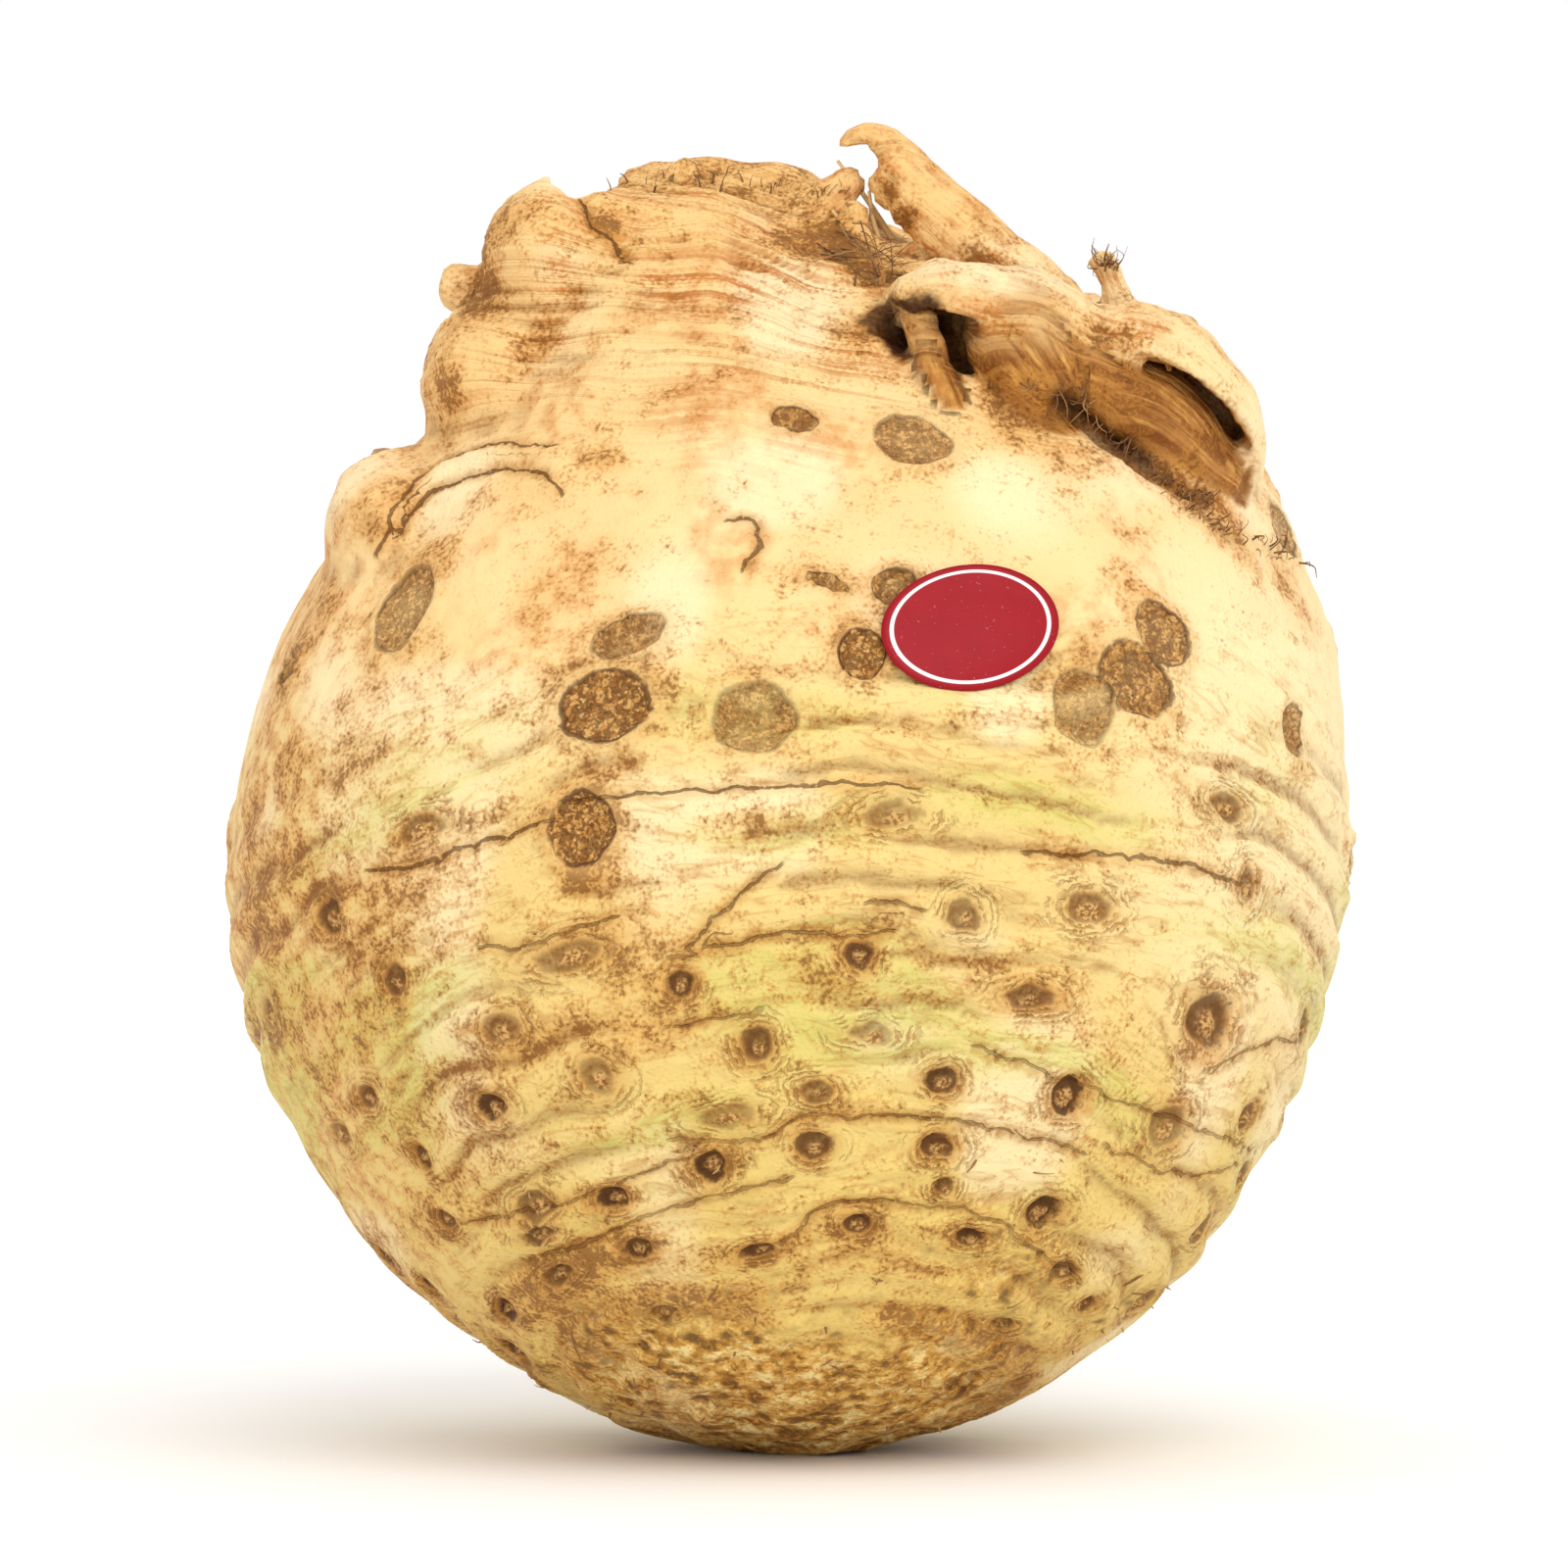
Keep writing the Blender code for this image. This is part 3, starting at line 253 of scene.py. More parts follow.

# Soiled, granular patches of skin, as seen from EYE: x, z, width, height, tilt in degrees, strength. Those at
# the far left edge also stand for painted shade on that side.
STAINS_AND_EDGE_SHADE = (
    (-20.4, 109.9, 6.5, 4.1, -20, 1.0), (1.1, 114.5, 4.8, 2.8, -10, 0.8), (-18.0, 90.8, 9.8, 6.5, -30, 0.7),
    (-28.3, 100.0, 12, 7.6, 0, 0.35), (-28.9, 94.6, 9.8, 6.5, 0, 0.3), (-19.0, 75.5, 12, 2.6, 5, 0.8),
    (-4.4, 85.9, 6.5, 2.2, 0, 0.5), (13.6, 81.0, 16, 4.4, -5, 0.6), (-23.4, 69.5, 7.6, 9.8, 0, 1.0),
    (-4.4, 69.5, 12, 4.4, 0, 0.7), (-42.0, 67.9, 13, 6.5, 20, 0.45), (32.0, 66.0, 17, 5.5, -5, 0.5),
    (33.2, 59.7, 12, 5.5, 0, 0.5), (46.3, 46.7, 11, 12, 0, 0.6), (37.6, 95.7, 8.7, 4.4, -20, 0.4),
    (32.7, 82.6, 7.6, 12, 15, 0.4), (57.0, 75.0, 6.5, 6.5, 0, 0.5), (34.3, 109.9, 13, 9.8, -30, 0.55),
    (25.6, 113.0, 6.5, 6.5, 0, 0.4), (48.5, 101.7, 16, 5.5, -32, 1.0), (55.0, 96.8, 6.5, 8.7, -50, 0.8),
    (-33.3, 129.5, 6.5, 9.8, -20, 0.6), (-38.2, 117.5, 5.5, 9.8, 0, 0.7), (-28.9, 137.7, 7, 4, 35, 0.5),
    (-20.2, 136.0, 5.4, 4.4, -50, 0.9), (-6.0, 139.3, 6.5, 3.3, 0, 0.6), (3.8, 135.0, 9.8, 6.5, 0, 0.9),
    (-10.9, 134.4, 3.3, 2.2, 0, 0.7), (-10.4, 128.4, 8.7, 5.4, 0, 0.55), (-6.0, 125.7, 6.5, 3.3, -10, 0.6),
    (-26.7, 123.5, 4.4, 5.4, -30, 0.6), (8.2, 123.0, 9.8, 6.5, -20, 0.7), (-44.1, 104.4, 7.6, 12, -25, 0.65),
    # Painted shade as well as soil: the patches at the far left edge, below a height of 90.
    (-49.6, 104.4, 4.4, 9.8, -20, 0.5), (-55.0, 65.2, 8.7, 9.8, 0, 0.5), (-56.0, 76.0, 6.5, 8.7, 0, 0.5),
    (-48.0, 74.0, 22, 34, 0, 0.3), (-40.0, 88.0, 12, 10, 0, 0.35), (-34.0, 106.0, 14, 5, 10, 0.45),
    (-47.0, 103.0, 8, 9, -20, 1.0), (-51.5, 94.0, 7, 12, -15, 0.6), (-59.0, 62.0, 12, 34, 0, 0.6),
    (-56.0, 84.0, 10, 14, -20, 0.6), (-54.0, 44.0, 12, 16, 20, 0.5), (-20.6, 135.0, 2.4, 7.0, 40, 0.9),
    (10.5, 143.0, 9, 5, -30, 0.9), (15.0, 139.5, 5, 7, -40, 0.5), (22.0, 132.0, 9, 3, -20, 1.1),
    (-0.5, 96.8, 9, 6, 0, 0.35), (6.0, 92.6, 12, 8, 0, 0.3), (-38.5, 98.5, 8, 6, 30, 0.5),
    (4.4, 133.6, 12, 7, -15, 1.4), (9.6, 130.4, 9, 6, -30, 1.5), (9.6, 143.8, 5, 4, 0, 1.3),
    (11.4, 140.4, 4.4, 5, 0, 1.3), (13.4, 136.8, 4, 5, 0, 1.2), (24.0, 124.6, 8, 3, -20, 0.8),
    (37.0, 123.4, 10, 4, -25, 0.9), (40.0, 104.0, 16, 9, -30, 0.5), (19.0, 134.5, 8, 5, -45, 0.5),
)

# Dry fibres. The tangle crosses the gap between the crown's front rim and the horn.
TANGLE_FIBRES = 70
TANGLE_STARTS = ((2.5, 8), (-20, -8), (126, 136))  # least and most of x, y and z
TANGLE_ENDS = ((9, 15), (-20, -8), (126, 135))
TANGLE_SAG = 1.2
TANGLE_WAVE = 0.8
# Rows of short fibres: the line that they stand along as seen from EYE, how many, their length, their lean.
FRINGES = (
    (((25, 118.4), (31.8, 117.8), (36, 113.4), (39.8, 110.2), (43.2, 107.5), (47.6, 105.6)),
     90, 3.4, (-0.2, -0.7, -0.3)),
    (((41, 107.8), (45, 104.6), (48.7, 101.9), (53, 100.4), (56.4, 98.6)), 60, 2.6, (0.3, -0.7, 0.2)),
    (((34.2, 131.5), (36.4, 130.8)), 26, 2.6, (-0.2, -0.2, 1.0)),
    (((-22, 140), (-13, 141), (-4, 140.4), (3, 139.6), (6.6, 139.4)), 34, 1.8, (0.2, -0.3, 0.6)),
)
FIBRE_RADII = (0.05, 0.15)
# Dry leaf strips that stand loose between the crown's rim and the horn.
LOOSE_STRANDS = [
    [(15.6, -5, 129.5), (11.6, -5, 134.2), (8.6, -4.6, 138.8), (5.4, -4.2, 143.0)],
    [(14.6, -7, 128.5), (11.0, -7, 132.4), (9.4, -6.6, 136.0), (8.9, -6.4, 139.6)],
    [(13.4, -9, 127.6), (9.8, -9, 131.0), (7.0, -8.6, 134.6), (4.8, -8.4, 137.4)],
]
LOOSE_RADIUS = 0.55
FIBRE_SEED = 11
# Cut ends of fine roots round the root pole, some of them lying along the skin.
ROOTLETS = 150
ROOTLETS_FROM_POLE = (4, 44)  # degrees
ROOTLET_RADII = (0.08, 0.2)
LYING_SHARE = 0.6
LYING_LENGTHS = (1.2, 4.5)
LYING_HEIGHT = 0.25
STANDING_LENGTHS = (0.25, 0.6)
CLEAR_OF_FLOOR = 3.2  # none grow lower than this
ROOTLET_SEED = 12
STRAND_SIDES = 5
STRAND_STATIONS = 9
STRAND_TIP = 0.35  # share of its radius left at a strand's end

STICKER_PLACE = (20.2, 91.3)  # as seen from EYE
STICKER_WIDTH = 20.0
STICKER_HEIGHT = 14.5
STICKER_TILT = 14  # degrees, its right end up
STICKER_LIFT = 0.06  # from the highest grain of skin under it
STICKER_THICKNESS = 0.12
STICKER_SIDES = 96
STICKER_RINGS = 16
STICKER_SEARCH = 9  # how far over its place the skin is looked for from
STICKER_RISE = 0.9  # share of the way from the skin's broad curve to its highest grain

FLOOR_REACH = 20000
# Broad soft lights: name, direction that it comes from, strength, and spread in degrees.
LIGHTS = (("key", (0.32, -0.85, 0.9), 1.1, 50), ("low_fill", (0.0, -1.0, 0.12), 0.35, 60))

GOLDEN_TURN = math.pi * (3 - math.sqrt(5))  # turns by this much spread evenly round a pole
GOLDEN_SHARE = 0.618  # steps by this much spread evenly from 0 to 1

# Widths of the skin's finest grain.
FLECK = 0.48
LUMP = 2.4
RING_THREAD = 1.5
CROWN_THREAD = 1.3
LEAF_THREAD = 1.0
WRINKLE = 2.6
GRANULE = 0.66
GRANULE_WARP = 0.8

# Colours, 0 to 255. Pairs run from where a noise is low to where it is high.
SKIN_STOPS = (  # by degrees from the root pole
    (4, (222, 178, 90)), (20, (228, 198, 112)), (38, (226, 198, 118)), (60, (226, 196, 122)),
    (84, (230, 202, 132)), (108, (238, 206, 146)), (140, (234, 192, 126)),
)
# The first colour below also paints shade on the left side, and the second paints light on the right.
BLUSH_AND_SHADE = (212, 154, 92)
PALE_AND_LIT = (246, 228, 184)
GREEN = (198, 196, 98)
RING_STREAK = (186, 146, 84)
RING_LINE = (186, 122, 56)
CROWN_FIBRE = (196, 136, 72)
RUST = (188, 106, 38)
WEATHERED_SKIN = ((168, 104, 30), (206, 146, 66))
WEATHERED_STREAK = (108, 52, 2)
SCURF = (206, 150, 74)
SCURF_GRAINS = ((218, 148, 66), (164, 104, 36))
SCURF_CORE = (110, 62, 14)
# Soil and painted shade, then the painted shade of hollows and of the deepest places.
SOIL_AND_SHADE = (128, 76, 22)
SHADED_HOLLOW_WALL = ((180, 116, 28), (100, 52, 6))
HOLLOW_SHADE = (50, 14, 2)
DEEP_SHADE = (40, 18, 6)
CRACK_EDGE = (196, 140, 66)
# Along the left crease and the shoulder vein this core colour is painted shade.
CRACK_CORE = (98, 56, 16)
CORK_STOPS = ((0.0, (146, 90, 34)), (0.4, (196, 138, 66)), (1.0, (228, 176, 106)))
CORK_GAP = (88, 48, 12)
CORK_SPECK = (112, 66, 22)
LEAF_SCAR_HALO = (216, 170, 106)
LEAF_SCAR_RING = (84, 46, 12)
ROOT_SCAR_HALO = (198, 142, 70)
RIPPLE = (168, 108, 46)
PIT = (74, 40, 10)
STUB = ((220, 172, 104), (134, 84, 32))
ROOT_END_STOPS = ((0.0, (84, 44, 8)), (0.3, (168, 112, 38)), (0.6, (218, 166, 80)), (1.0, (250, 228, 158)))
ROOT_END_GAP = (84, 46, 10)
FIBRE_STOPS = ((0.0, (88, 56, 28)), (0.5, (158, 112, 60)), (1.0, (224, 188, 126)))
FIBRE_PATCH = (120, 78, 40)
STICKER_RED = ((142, 0, 14), (158, 2, 22))
STICKER_LINE = (246, 240, 238)
STICKER_SPECK = (240, 200, 200)
FLOOR_WHITE = ((247, 246, 244), (250, 249, 247))


def hermite(table, at):
    """A smooth curve through a table of (knot, value), read at an array of knots."""
    knots, values = np.array(table, float).T
    slopes = np.gradient(values, knots)
    i = np.clip(np.searchsorted(knots, at) - 1, 0, len(knots) - 2)
    span = knots[i + 1] - knots[i]
    t = (at - knots[i]) / span
    start = (1 + 2 * t) * (1 - t) ** 2 * values[i] + t * (1 - t) ** 2 * span * slopes[i]
    end = t * t * (3 - 2 * t) * values[i + 1] + t * t * (t - 1) * span * slopes[i + 1]
    return start + end


def smoothstep(low, high, x):
    t = np.clip((x - low) / (high - low), 0, 1)
    return t * t * (3 - 2 * t)


def grain(points, size, seed):
    """Smooth value noise from -1 to 1, whose lumps are about size millimetres wide."""
    scaled = points / size + seed * 17.31
    cell = np.floor(scaled).astype(np.int64)
    t = scaled - cell
    t = t * t * (3 - 2 * t)
    total = np.zeros(len(points))
    for corner in np.ndindex(2, 2, 2):
        key = ((cell + corner) * (73856093, 19349663, 83492791)).sum(1) ^ (seed * 2654435761)
        key = (key ^ (key >> 13)) * 1274126177 & 0x7FFFFFFF
        key = (key ^ (key >> 16)) * 668265263 & 0x7FFFFFFF
        weight = np.prod(np.where(corner, t, 1 - t), axis=1)
        total += weight * (key % 65536) / 32767.5
    return total - 1


def lumps(points, layers):
    return sum(height * grain(points, size, seed) for height, size, seed in layers)


def unit(vectors):
    return vectors / np.linalg.norm(vectors, axis=-1, keepdims=True)


def new_object(name, points_mm, faces):
    mesh = bpy.data.meshes.new(name)
    mesh.from_pydata((np.asarray(points_mm, float) * MM).tolist(), [], faces)
    made = bpy.data.objects.new(name, mesh)
    bpy.context.scene.collection.objects.link(made)
    return made


def spine_stations(spine, radii, stations):
    """Points, tangents and radii along a smooth curve through the spine's own points."""
    spine = np.array(spine, float)
    along = np.linspace(0, len(spine) - 1, stations)
    knots = np.arange(len(spine))
    points = np.stack([hermite(np.stack([knots, spine[:, axis]], 1), along) for axis in range(3)], 1)
    widths = hermite(np.stack([knots, radii], 1), along)
    return points, unit(np.gradient(points, axis=0)), widths


def loft(name, rings):
    """One closed solid through rings of equal point counts, with flat ends."""
    count, sides = rings.shape[:2]
    faces = [
        (r * sides + s, r * sides + (s + 1) % sides, (r + 1) * sides + (s + 1) % sides, (r + 1) * sides + s)
        for r in range(count - 1)
        for s in range(sides)
    ]
    faces.append(tuple(range(sides))[::-1])
    faces.append(tuple(range((count - 1) * sides, count * sides)))
    made = new_object(name, rings.reshape(-1, 3), faces)
    face_outwards(made)
    return made


def face_outwards(made):
    shape = bmesh.new()
    shape.from_mesh(made.data)
    bmesh.ops.recalc_face_normals(shape, faces=shape.faces)
    shape.to_mesh(made.data)
    shape.free()


def ring_offsets(tangents, sides):
    """Unit vectors round each station of a spine."""
    side = unit(np.cross(tangents, (0.31, 0.87, 0.38)))
    up = np.cross(side, tangents)
    turns = np.linspace(0, 2 * math.pi, sides, endpoint=False)
    return np.cos(turns)[None, :, None] * side[:, None] + np.sin(turns)[None, :, None] * up[:, None]


def limb(name, spine, radii, stations=20, sides=14):
    """A round tapering shape along a spine."""
    points, tangents, widths = spine_stations(spine, radii, stations)
    return loft(name, points[:, None] + ring_offsets(tangents, sides) * widths[:, None, None])


def sheath(name, spine, radii, crest, span, wall, stations=26, steps=14):
    """A leaf base's shell: an arc swept along a spine, its back towards crest, thinner at its free edges."""
    points, tangents, widths = spine_stations(spine, radii, stations)
    crest = np.array(crest, float)
    back = unit(crest - (tangents @ crest)[:, None] * tangents)
    side = np.cross(tangents, back)
    turns = np.radians(np.linspace(-span / 2, span / 2, steps))
    ring = np.cos(turns)[None, :, None] * back[:, None] + np.sin(turns)[None, :, None] * side[:, None]
    walls = wall * (1 - 0.45 * (turns / turns[-1]) ** 2)
    outer = points[:, None] + ring * widths[:, None, None]
    inner_radius = np.maximum(widths[:, None] - walls[None], 0.15 * widths[:, None])
    inner = points[:, None] + ring * inner_radius[:, :, None]
    return loft(name, np.concatenate([outer, inner[:, ::-1]], axis=1))


def ellipsoid(name, centre, radii, subdivisions=4):
    shape = bmesh.new()
    place = Matrix.Translation(Vector(centre) * MM) @ Matrix.Diagonal((*(Vector(radii) * MM), 1))
    bmesh.ops.create_icosphere(shape, subdivisions=subdivisions, radius=1, matrix=place)
    mesh = bpy.data.meshes.new(name)
    shape.to_mesh(mesh)
    shape.free()
    made = bpy.data.objects.new(name, mesh)
    bpy.context.scene.collection.objects.link(made)
    return made


def bulb_radius(directions):
    """The bulb's radius in millimetres along unit directions from CENTRE, blended from its four outlines."""
    elevation = np.degrees(np.arcsin(np.clip(directions[:, 2], -1, 1)))
    x, y = directions[:, 0], directions[:, 1]
    sideways = np.where(x > 0, hermite(RIGHT, elevation), hermite(LEFT, elevation))
    lengthways = np.where(y < 0, hermite(FRONT, elevation), hermite(BACK, elevation))
    share = x * x / np.maximum(x * x + y * y, 1e-9)
    return share * sideways + (1 - share) * lengthways


def bulb():
    """The smooth bulb, from an even sphere whose points are moved out to the outlines, with gentle swells."""
    made = ellipsoid("bulb", (0, 0, 0), (1, 1, 1), subdivisions=6)
    points = read_points(made)
    directions = unit(points)
    points = CENTRE + directions * bulb_radius(directions)[:, None]
    write_points(made, points + directions * lumps(points, SWELLS)[:, None])
    return made


def read_points(made):
    flat = np.empty(len(made.data.vertices) * 3)
    made.data.vertices.foreach_get("co", flat)
    return flat.reshape(-1, 3) / MM


def write_points(made, points_mm):
    made.data.vertices.foreach_set("co", (points_mm * MM).astype(np.float32).ravel())
    made.data.update()


def read_normals(made):
    flat = np.empty(len(made.data.vertices) * 3)
    made.data.vertices.foreach_get("normal", flat)
    return flat.reshape(-1, 3)


def settle(made):
    """Puts what the object's modifiers make into its own mesh."""
    bpy.context.view_layer.update()
    graph = bpy.context.evaluated_depsgraph_get()
    mesh = bpy.data.meshes.new_from_object(made.evaluated_get(graph))
    made.modifiers.clear()
    made.data = mesh


def cut_away(made, cutters):
    """Cuts the grooves, one at a time, and drops their cutters."""
    for cutter in cutters:
        cut = made.modifiers.new(cutter.name, "BOOLEAN")
        cut.operation = "DIFFERENCE"
        cut.object = cutter
        settle(made)
        bpy.data.objects.remove(cutter)


def joined(name, pieces, voxel, blend):
    """One object from overlapping closed pieces, remeshed to even faces, with its joints softened."""
    shape = bmesh.new()
    for piece in pieces:
        shape.from_mesh(piece.data)
        bpy.data.objects.remove(piece)
    mesh = bpy.data.meshes.new(name)
    shape.to_mesh(mesh)
    shape.free()
    made = bpy.data.objects.new(name, mesh)
    bpy.context.scene.collection.objects.link(made)
    skin = made.modifiers.new("one_skin", "REMESH")
    skin.mode = "VOXEL"
    skin.voxel_size = voxel * MM
    soften = made.modifiers.new("soften", "SMOOTH")
    soften.factor = 0.5
    soften.iterations = round(blend / voxel**2)
    settle(made)
    return made


def surface_tree(made):
    """A search tree of an object's surface, in millimetres."""
    points = read_points(made)
    faces = [tuple(face.vertices) for face in made.data.polygons]
    return BVHTree.FromPolygons([Vector(p) for p in points], faces)


def seen_point(tree, x, z):
    """The surface point and normal that EYE sees at x and z, read in the plane y = 0."""
    ray = Vector((x, 0.0, z)) - Vector(EYE)
    place, normal, _, _ = tree.ray_cast(Vector(EYE), ray.normalized())
    return (None, None) if place is None else (np.array(place), np.array(normal))


def ring_axes(normal):
    """Two directions in the skin: along the growth rings, and across them towards the crown."""
    along = unit(np.cross(normal, ROOT_POLE))
    return along, np.cross(normal, along)


def scar_frame(place, normal, width, height, tone, tilt=0.0):
    along, across = ring_axes(normal)
    turn = math.radians(tilt)
    u = math.cos(turn) * along + math.sin(turn) * across
    return place, normal, u, np.cross(normal, u), width / 2, height / 2, tone


def front_scars(tree):
    leaf, root = [], []
    for x, z, width, height, tilt, tone in LEAF_SCARS:
        place, normal = seen_point(tree, x, z)
        if place is not None:
            leaf.append(scar_frame(place, normal, width, height, tone, tilt))
    for x, z, width, height, tone in ROOT_SCARS:
        place, normal = seen_point(tree, x, z)
        if place is not None:
            root.append(scar_frame(place, normal, width, height, tone))
    return leaf, root


def skin_from_inside(tree, from_pole, turn):
    """The skin's point and normal at an angle from the root pole and a turn round it."""
    pole = unit(ROOT_POLE)
    side = unit(np.cross(pole, (0.0, 0.0, 1.0)))
    outward = math.cos(turn) * side + math.sin(turn) * np.cross(pole, side)
    ray = math.cos(math.radians(from_pole)) * pole + math.sin(math.radians(from_pole)) * outward
    place, normal, _, _ = tree.ray_cast(Vector(CENTRE), Vector(ray))
    return np.array(place), np.array(normal)


def hidden_scars(tree, taken):
    """Scars where the front view doesn't reach, closer together towards the root end."""
    draw = np.random.default_rng(SEED)
    first, last = HIDDEN_FROM_POLE
    places = [scar[0] for scar in taken]
    leaf, root = [], []
    for number in range(HIDDEN_SCARS):
        from_pole = first + (last - first) * draw.random() ** 0.9
        turn = number * GOLDEN_TURN + draw.uniform(-0.2, 0.2)
        size = draw.uniform(*SCAR_SHARES)
        place, normal = skin_from_inside(tree, from_pole, turn)
        spacing = CLOSE if from_pole < ROOT_SCARS_END else APART
        if normal[1] < FACING_FRONT or min(np.linalg.norm(place - p) for p in places) < spacing:
            continue
        places.append(place)
        tone = FAINTEST_SCAR + (1 - FAINTEST_SCAR) * (number * GOLDEN_SHARE % 1)
        if from_pole > LEAF_SCARS_START:
            width, height = LEAF_SCAR_SIZE
            leaf.append(scar_frame(place, normal, width * size, height * size, tone))
        else:
            width, height = ROOT_SCAR_SIZE
            root.append(scar_frame(place, normal, width * size, height * size, tone))
    return leaf, root


def scar_places(points, frames, middle=(0.0, 0.0)):
    """For each point the distance to the nearest scar's middle, in scar radii, and that scar's tone."""
    distance = np.full(len(points), FAR_FROM_SCAR)
    tone = np.zeros(len(points))
    for place, normal, u, v, half_width, half_height, darkness in frames:
        offset = points - place
        near = np.flatnonzero(np.abs(offset).max(1) < 4 * max(half_width, half_height))
        near = near[np.abs(offset[near] @ normal) < SCAR_REACH]
        a, b = offset[near] @ u / half_width - middle[0], offset[near] @ v / half_height - middle[1]
        gap = np.hypot(a, b)
        closer = gap < distance[near]
        distance[near[closer]] = gap[closer]
        tone[near[closer]] = darkness
    return distance, tone


def leaf_scar_relief(distance):
    """Height by distance from a leaf scar's middle, in scar radii: a raised rim round a sunk, corky disc."""
    rim = LEAF_SCAR_RIM * np.exp(-((distance - 1.15) / 0.2) ** 2)
    return rim - LEAF_SCAR_DEPTH * (1 - smoothstep(0.8, 1.05, distance))


def root_scar_relief(distance, stub, tone):
    """Height over a root scar: a low mound, a round pit in it and the stub of the cut rootlet in the pit."""
    shallow, deep = PIT_DEPTHS
    mound = ROOT_SCAR_MOUND * np.exp(-((distance / 2.0) ** 2))
    pit = -(shallow + (deep - shallow) * tone) * np.exp(-(((distance - 0.5) / 0.42) ** 2))
    return mound + pit + STUB_HEIGHT * np.exp(-((stub / 0.34) ** 2))


def pole_angle(points):
    """Degrees from the root pole, seen from the bulb's middle."""
    return np.degrees(np.arccos(np.clip(unit(points - CENTRE) @ unit(ROOT_POLE), -1, 1)))


def ring_phase(points, frames):
    """Degrees from the root pole as the growth rings count them: they part round the root scars."""
    along, across = PARTING_REACH
    phase = pole_angle(points) + lumps(points, RING_WANDER)
    for place, _, u, v, half_width, half_height, _ in frames:
        offset = points - place
        near = np.flatnonzero(np.abs(offset).max(1) < 5 * half_width)
        a, b = offset[near] @ u / half_width, offset[near] @ v / half_height
        parting = RING_PARTING * b * half_height * np.exp(-((a / along) ** 2) - (b / across) ** 2)
        phase[near] -= parting
    return phase


def ring_space(points, phase):
    """Coordinates in which streaks along the growth rings are round lumps: squeezed along them."""
    pole = unit(ROOT_POLE)
    offset = points - CENTRE
    sideways = offset - (offset @ pole)[:, None] * pole
    return RING_STRETCH * sideways + (DEGREE_WIDTH * phase)[:, None] * pole


def growth_rings(points, phase):
    """Wrinkles that run round the bulb between the root end and its shoulders."""
    wave = np.cos(2 * math.pi * phase / RING_SPACING) * smoothstep(-0.5, 0.6, grain(points, 18, 5))
    finer = np.cos(2 * math.pi * phase / FINE_RING_SPACING + 2 * grain(points, 14, 11))
    finer = finer * smoothstep(-0.2, 0.5, grain(points, 11, 12))
    angle = pole_angle(points)
    where = smoothstep(*FIRST_RINGS, angle) * (1 - smoothstep(*LAST_RINGS, angle))
    return (RING_HEIGHT * wave + FINE_RING_HEIGHT * finer) * where


def root_end(points):
    """The rough patch round the root pole, where fine roots were trimmed off."""
    return (1 - smoothstep(*ROOT_END, pole_angle(points))) * lumps(points, ROOT_END_LUMPS)


def crown_roughness(points, fibres):
    """Torn fibres on the leaf bases, and soft lumps on the shoulders below them."""
    above = smoothstep(*CROWN_HEIGHTS, points[:, 2])
    shoulders = smoothstep(*SHOULDER_HEIGHTS, points[:, 2]) * (1 - above)
    torn = lumps(points, CROWN_LUMPS) + lumps(fibres, CROWN_STREAKS)
    return above * torn + shoulders * lumps(points, SHOULDER_LUMPS)


def nearest_station(points, spine, radii):
    """For each point the nearest station of a spine: its number, and the distance to it in local radii."""
    places, _, widths = spine_stations(spine, radii, SPINE_STATIONS)
    distance = np.linalg.norm(points[:, None] - places[None], axis=2) / widths[None]
    nearest = distance.argmin(1)
    return nearest, distance[np.arange(len(points)), nearest]


def fibre_space(points):
    """Coordinates in which fibres that run up to the crown are round lumps: squeezed along them."""
    axis = -unit(ROOT_POLE)
    side = unit(np.cross(axis, (0.0, 1.0, 0.0)))
    front = np.cross(axis, side)
    offset = points - CENTRE
    rise = offset @ axis
    turn = np.arctan2(offset @ front, offset @ side) + rise / FIBRE_TWIST + 0.16 * grain(points, 11, 31)
    return np.stack([FIBRE_ROUND * np.cos(turn), FIBRE_ROUND * np.sin(turn), FIBRE_STRETCH * rise], 1)


def leaf_fibres(points):
    """The same along each leaf base, and how far each point belongs to one: 0 at the joints between them."""
    space = np.zeros_like(points)
    share = np.zeros(len(points))
    high = np.flatnonzero(points[:, 2] > CROWN_BASE)
    best = np.full(len(high), 1.5)
    second = best.copy()
    for number, (spine, radii, *_) in enumerate(list(SHEATHS.values()) + list(LIMBS.values())):
        places, tangents, widths = spine_stations(spine, radii, SPINE_STATIONS)
        nearest, distance = nearest_station(points[high], spine, radii)
        closer = distance < best
        second = np.where(closer, best, np.minimum(second, distance))
        best[closer] = distance[closer]
        offset = points[high[closer]] - places[nearest[closer]]
        ring = ring_offsets(tangents, 4)[nearest[closer]]
        turn = np.arctan2((offset * ring[:, 1]).sum(1), (offset * ring[:, 0]).sum(1))
        width = widths[nearest[closer]]
        along = FIBRE_STRETCH * np.linalg.norm(places[nearest[closer]] - places[0], axis=1) + 20 * number
        space[high[closer]] = np.stack([width * np.cos(turn), width * np.sin(turn), along], 1)
    share[high] = smoothstep(1.4, 1.15, best) * smoothstep(0.0, 0.25, second - best)
    return space, share


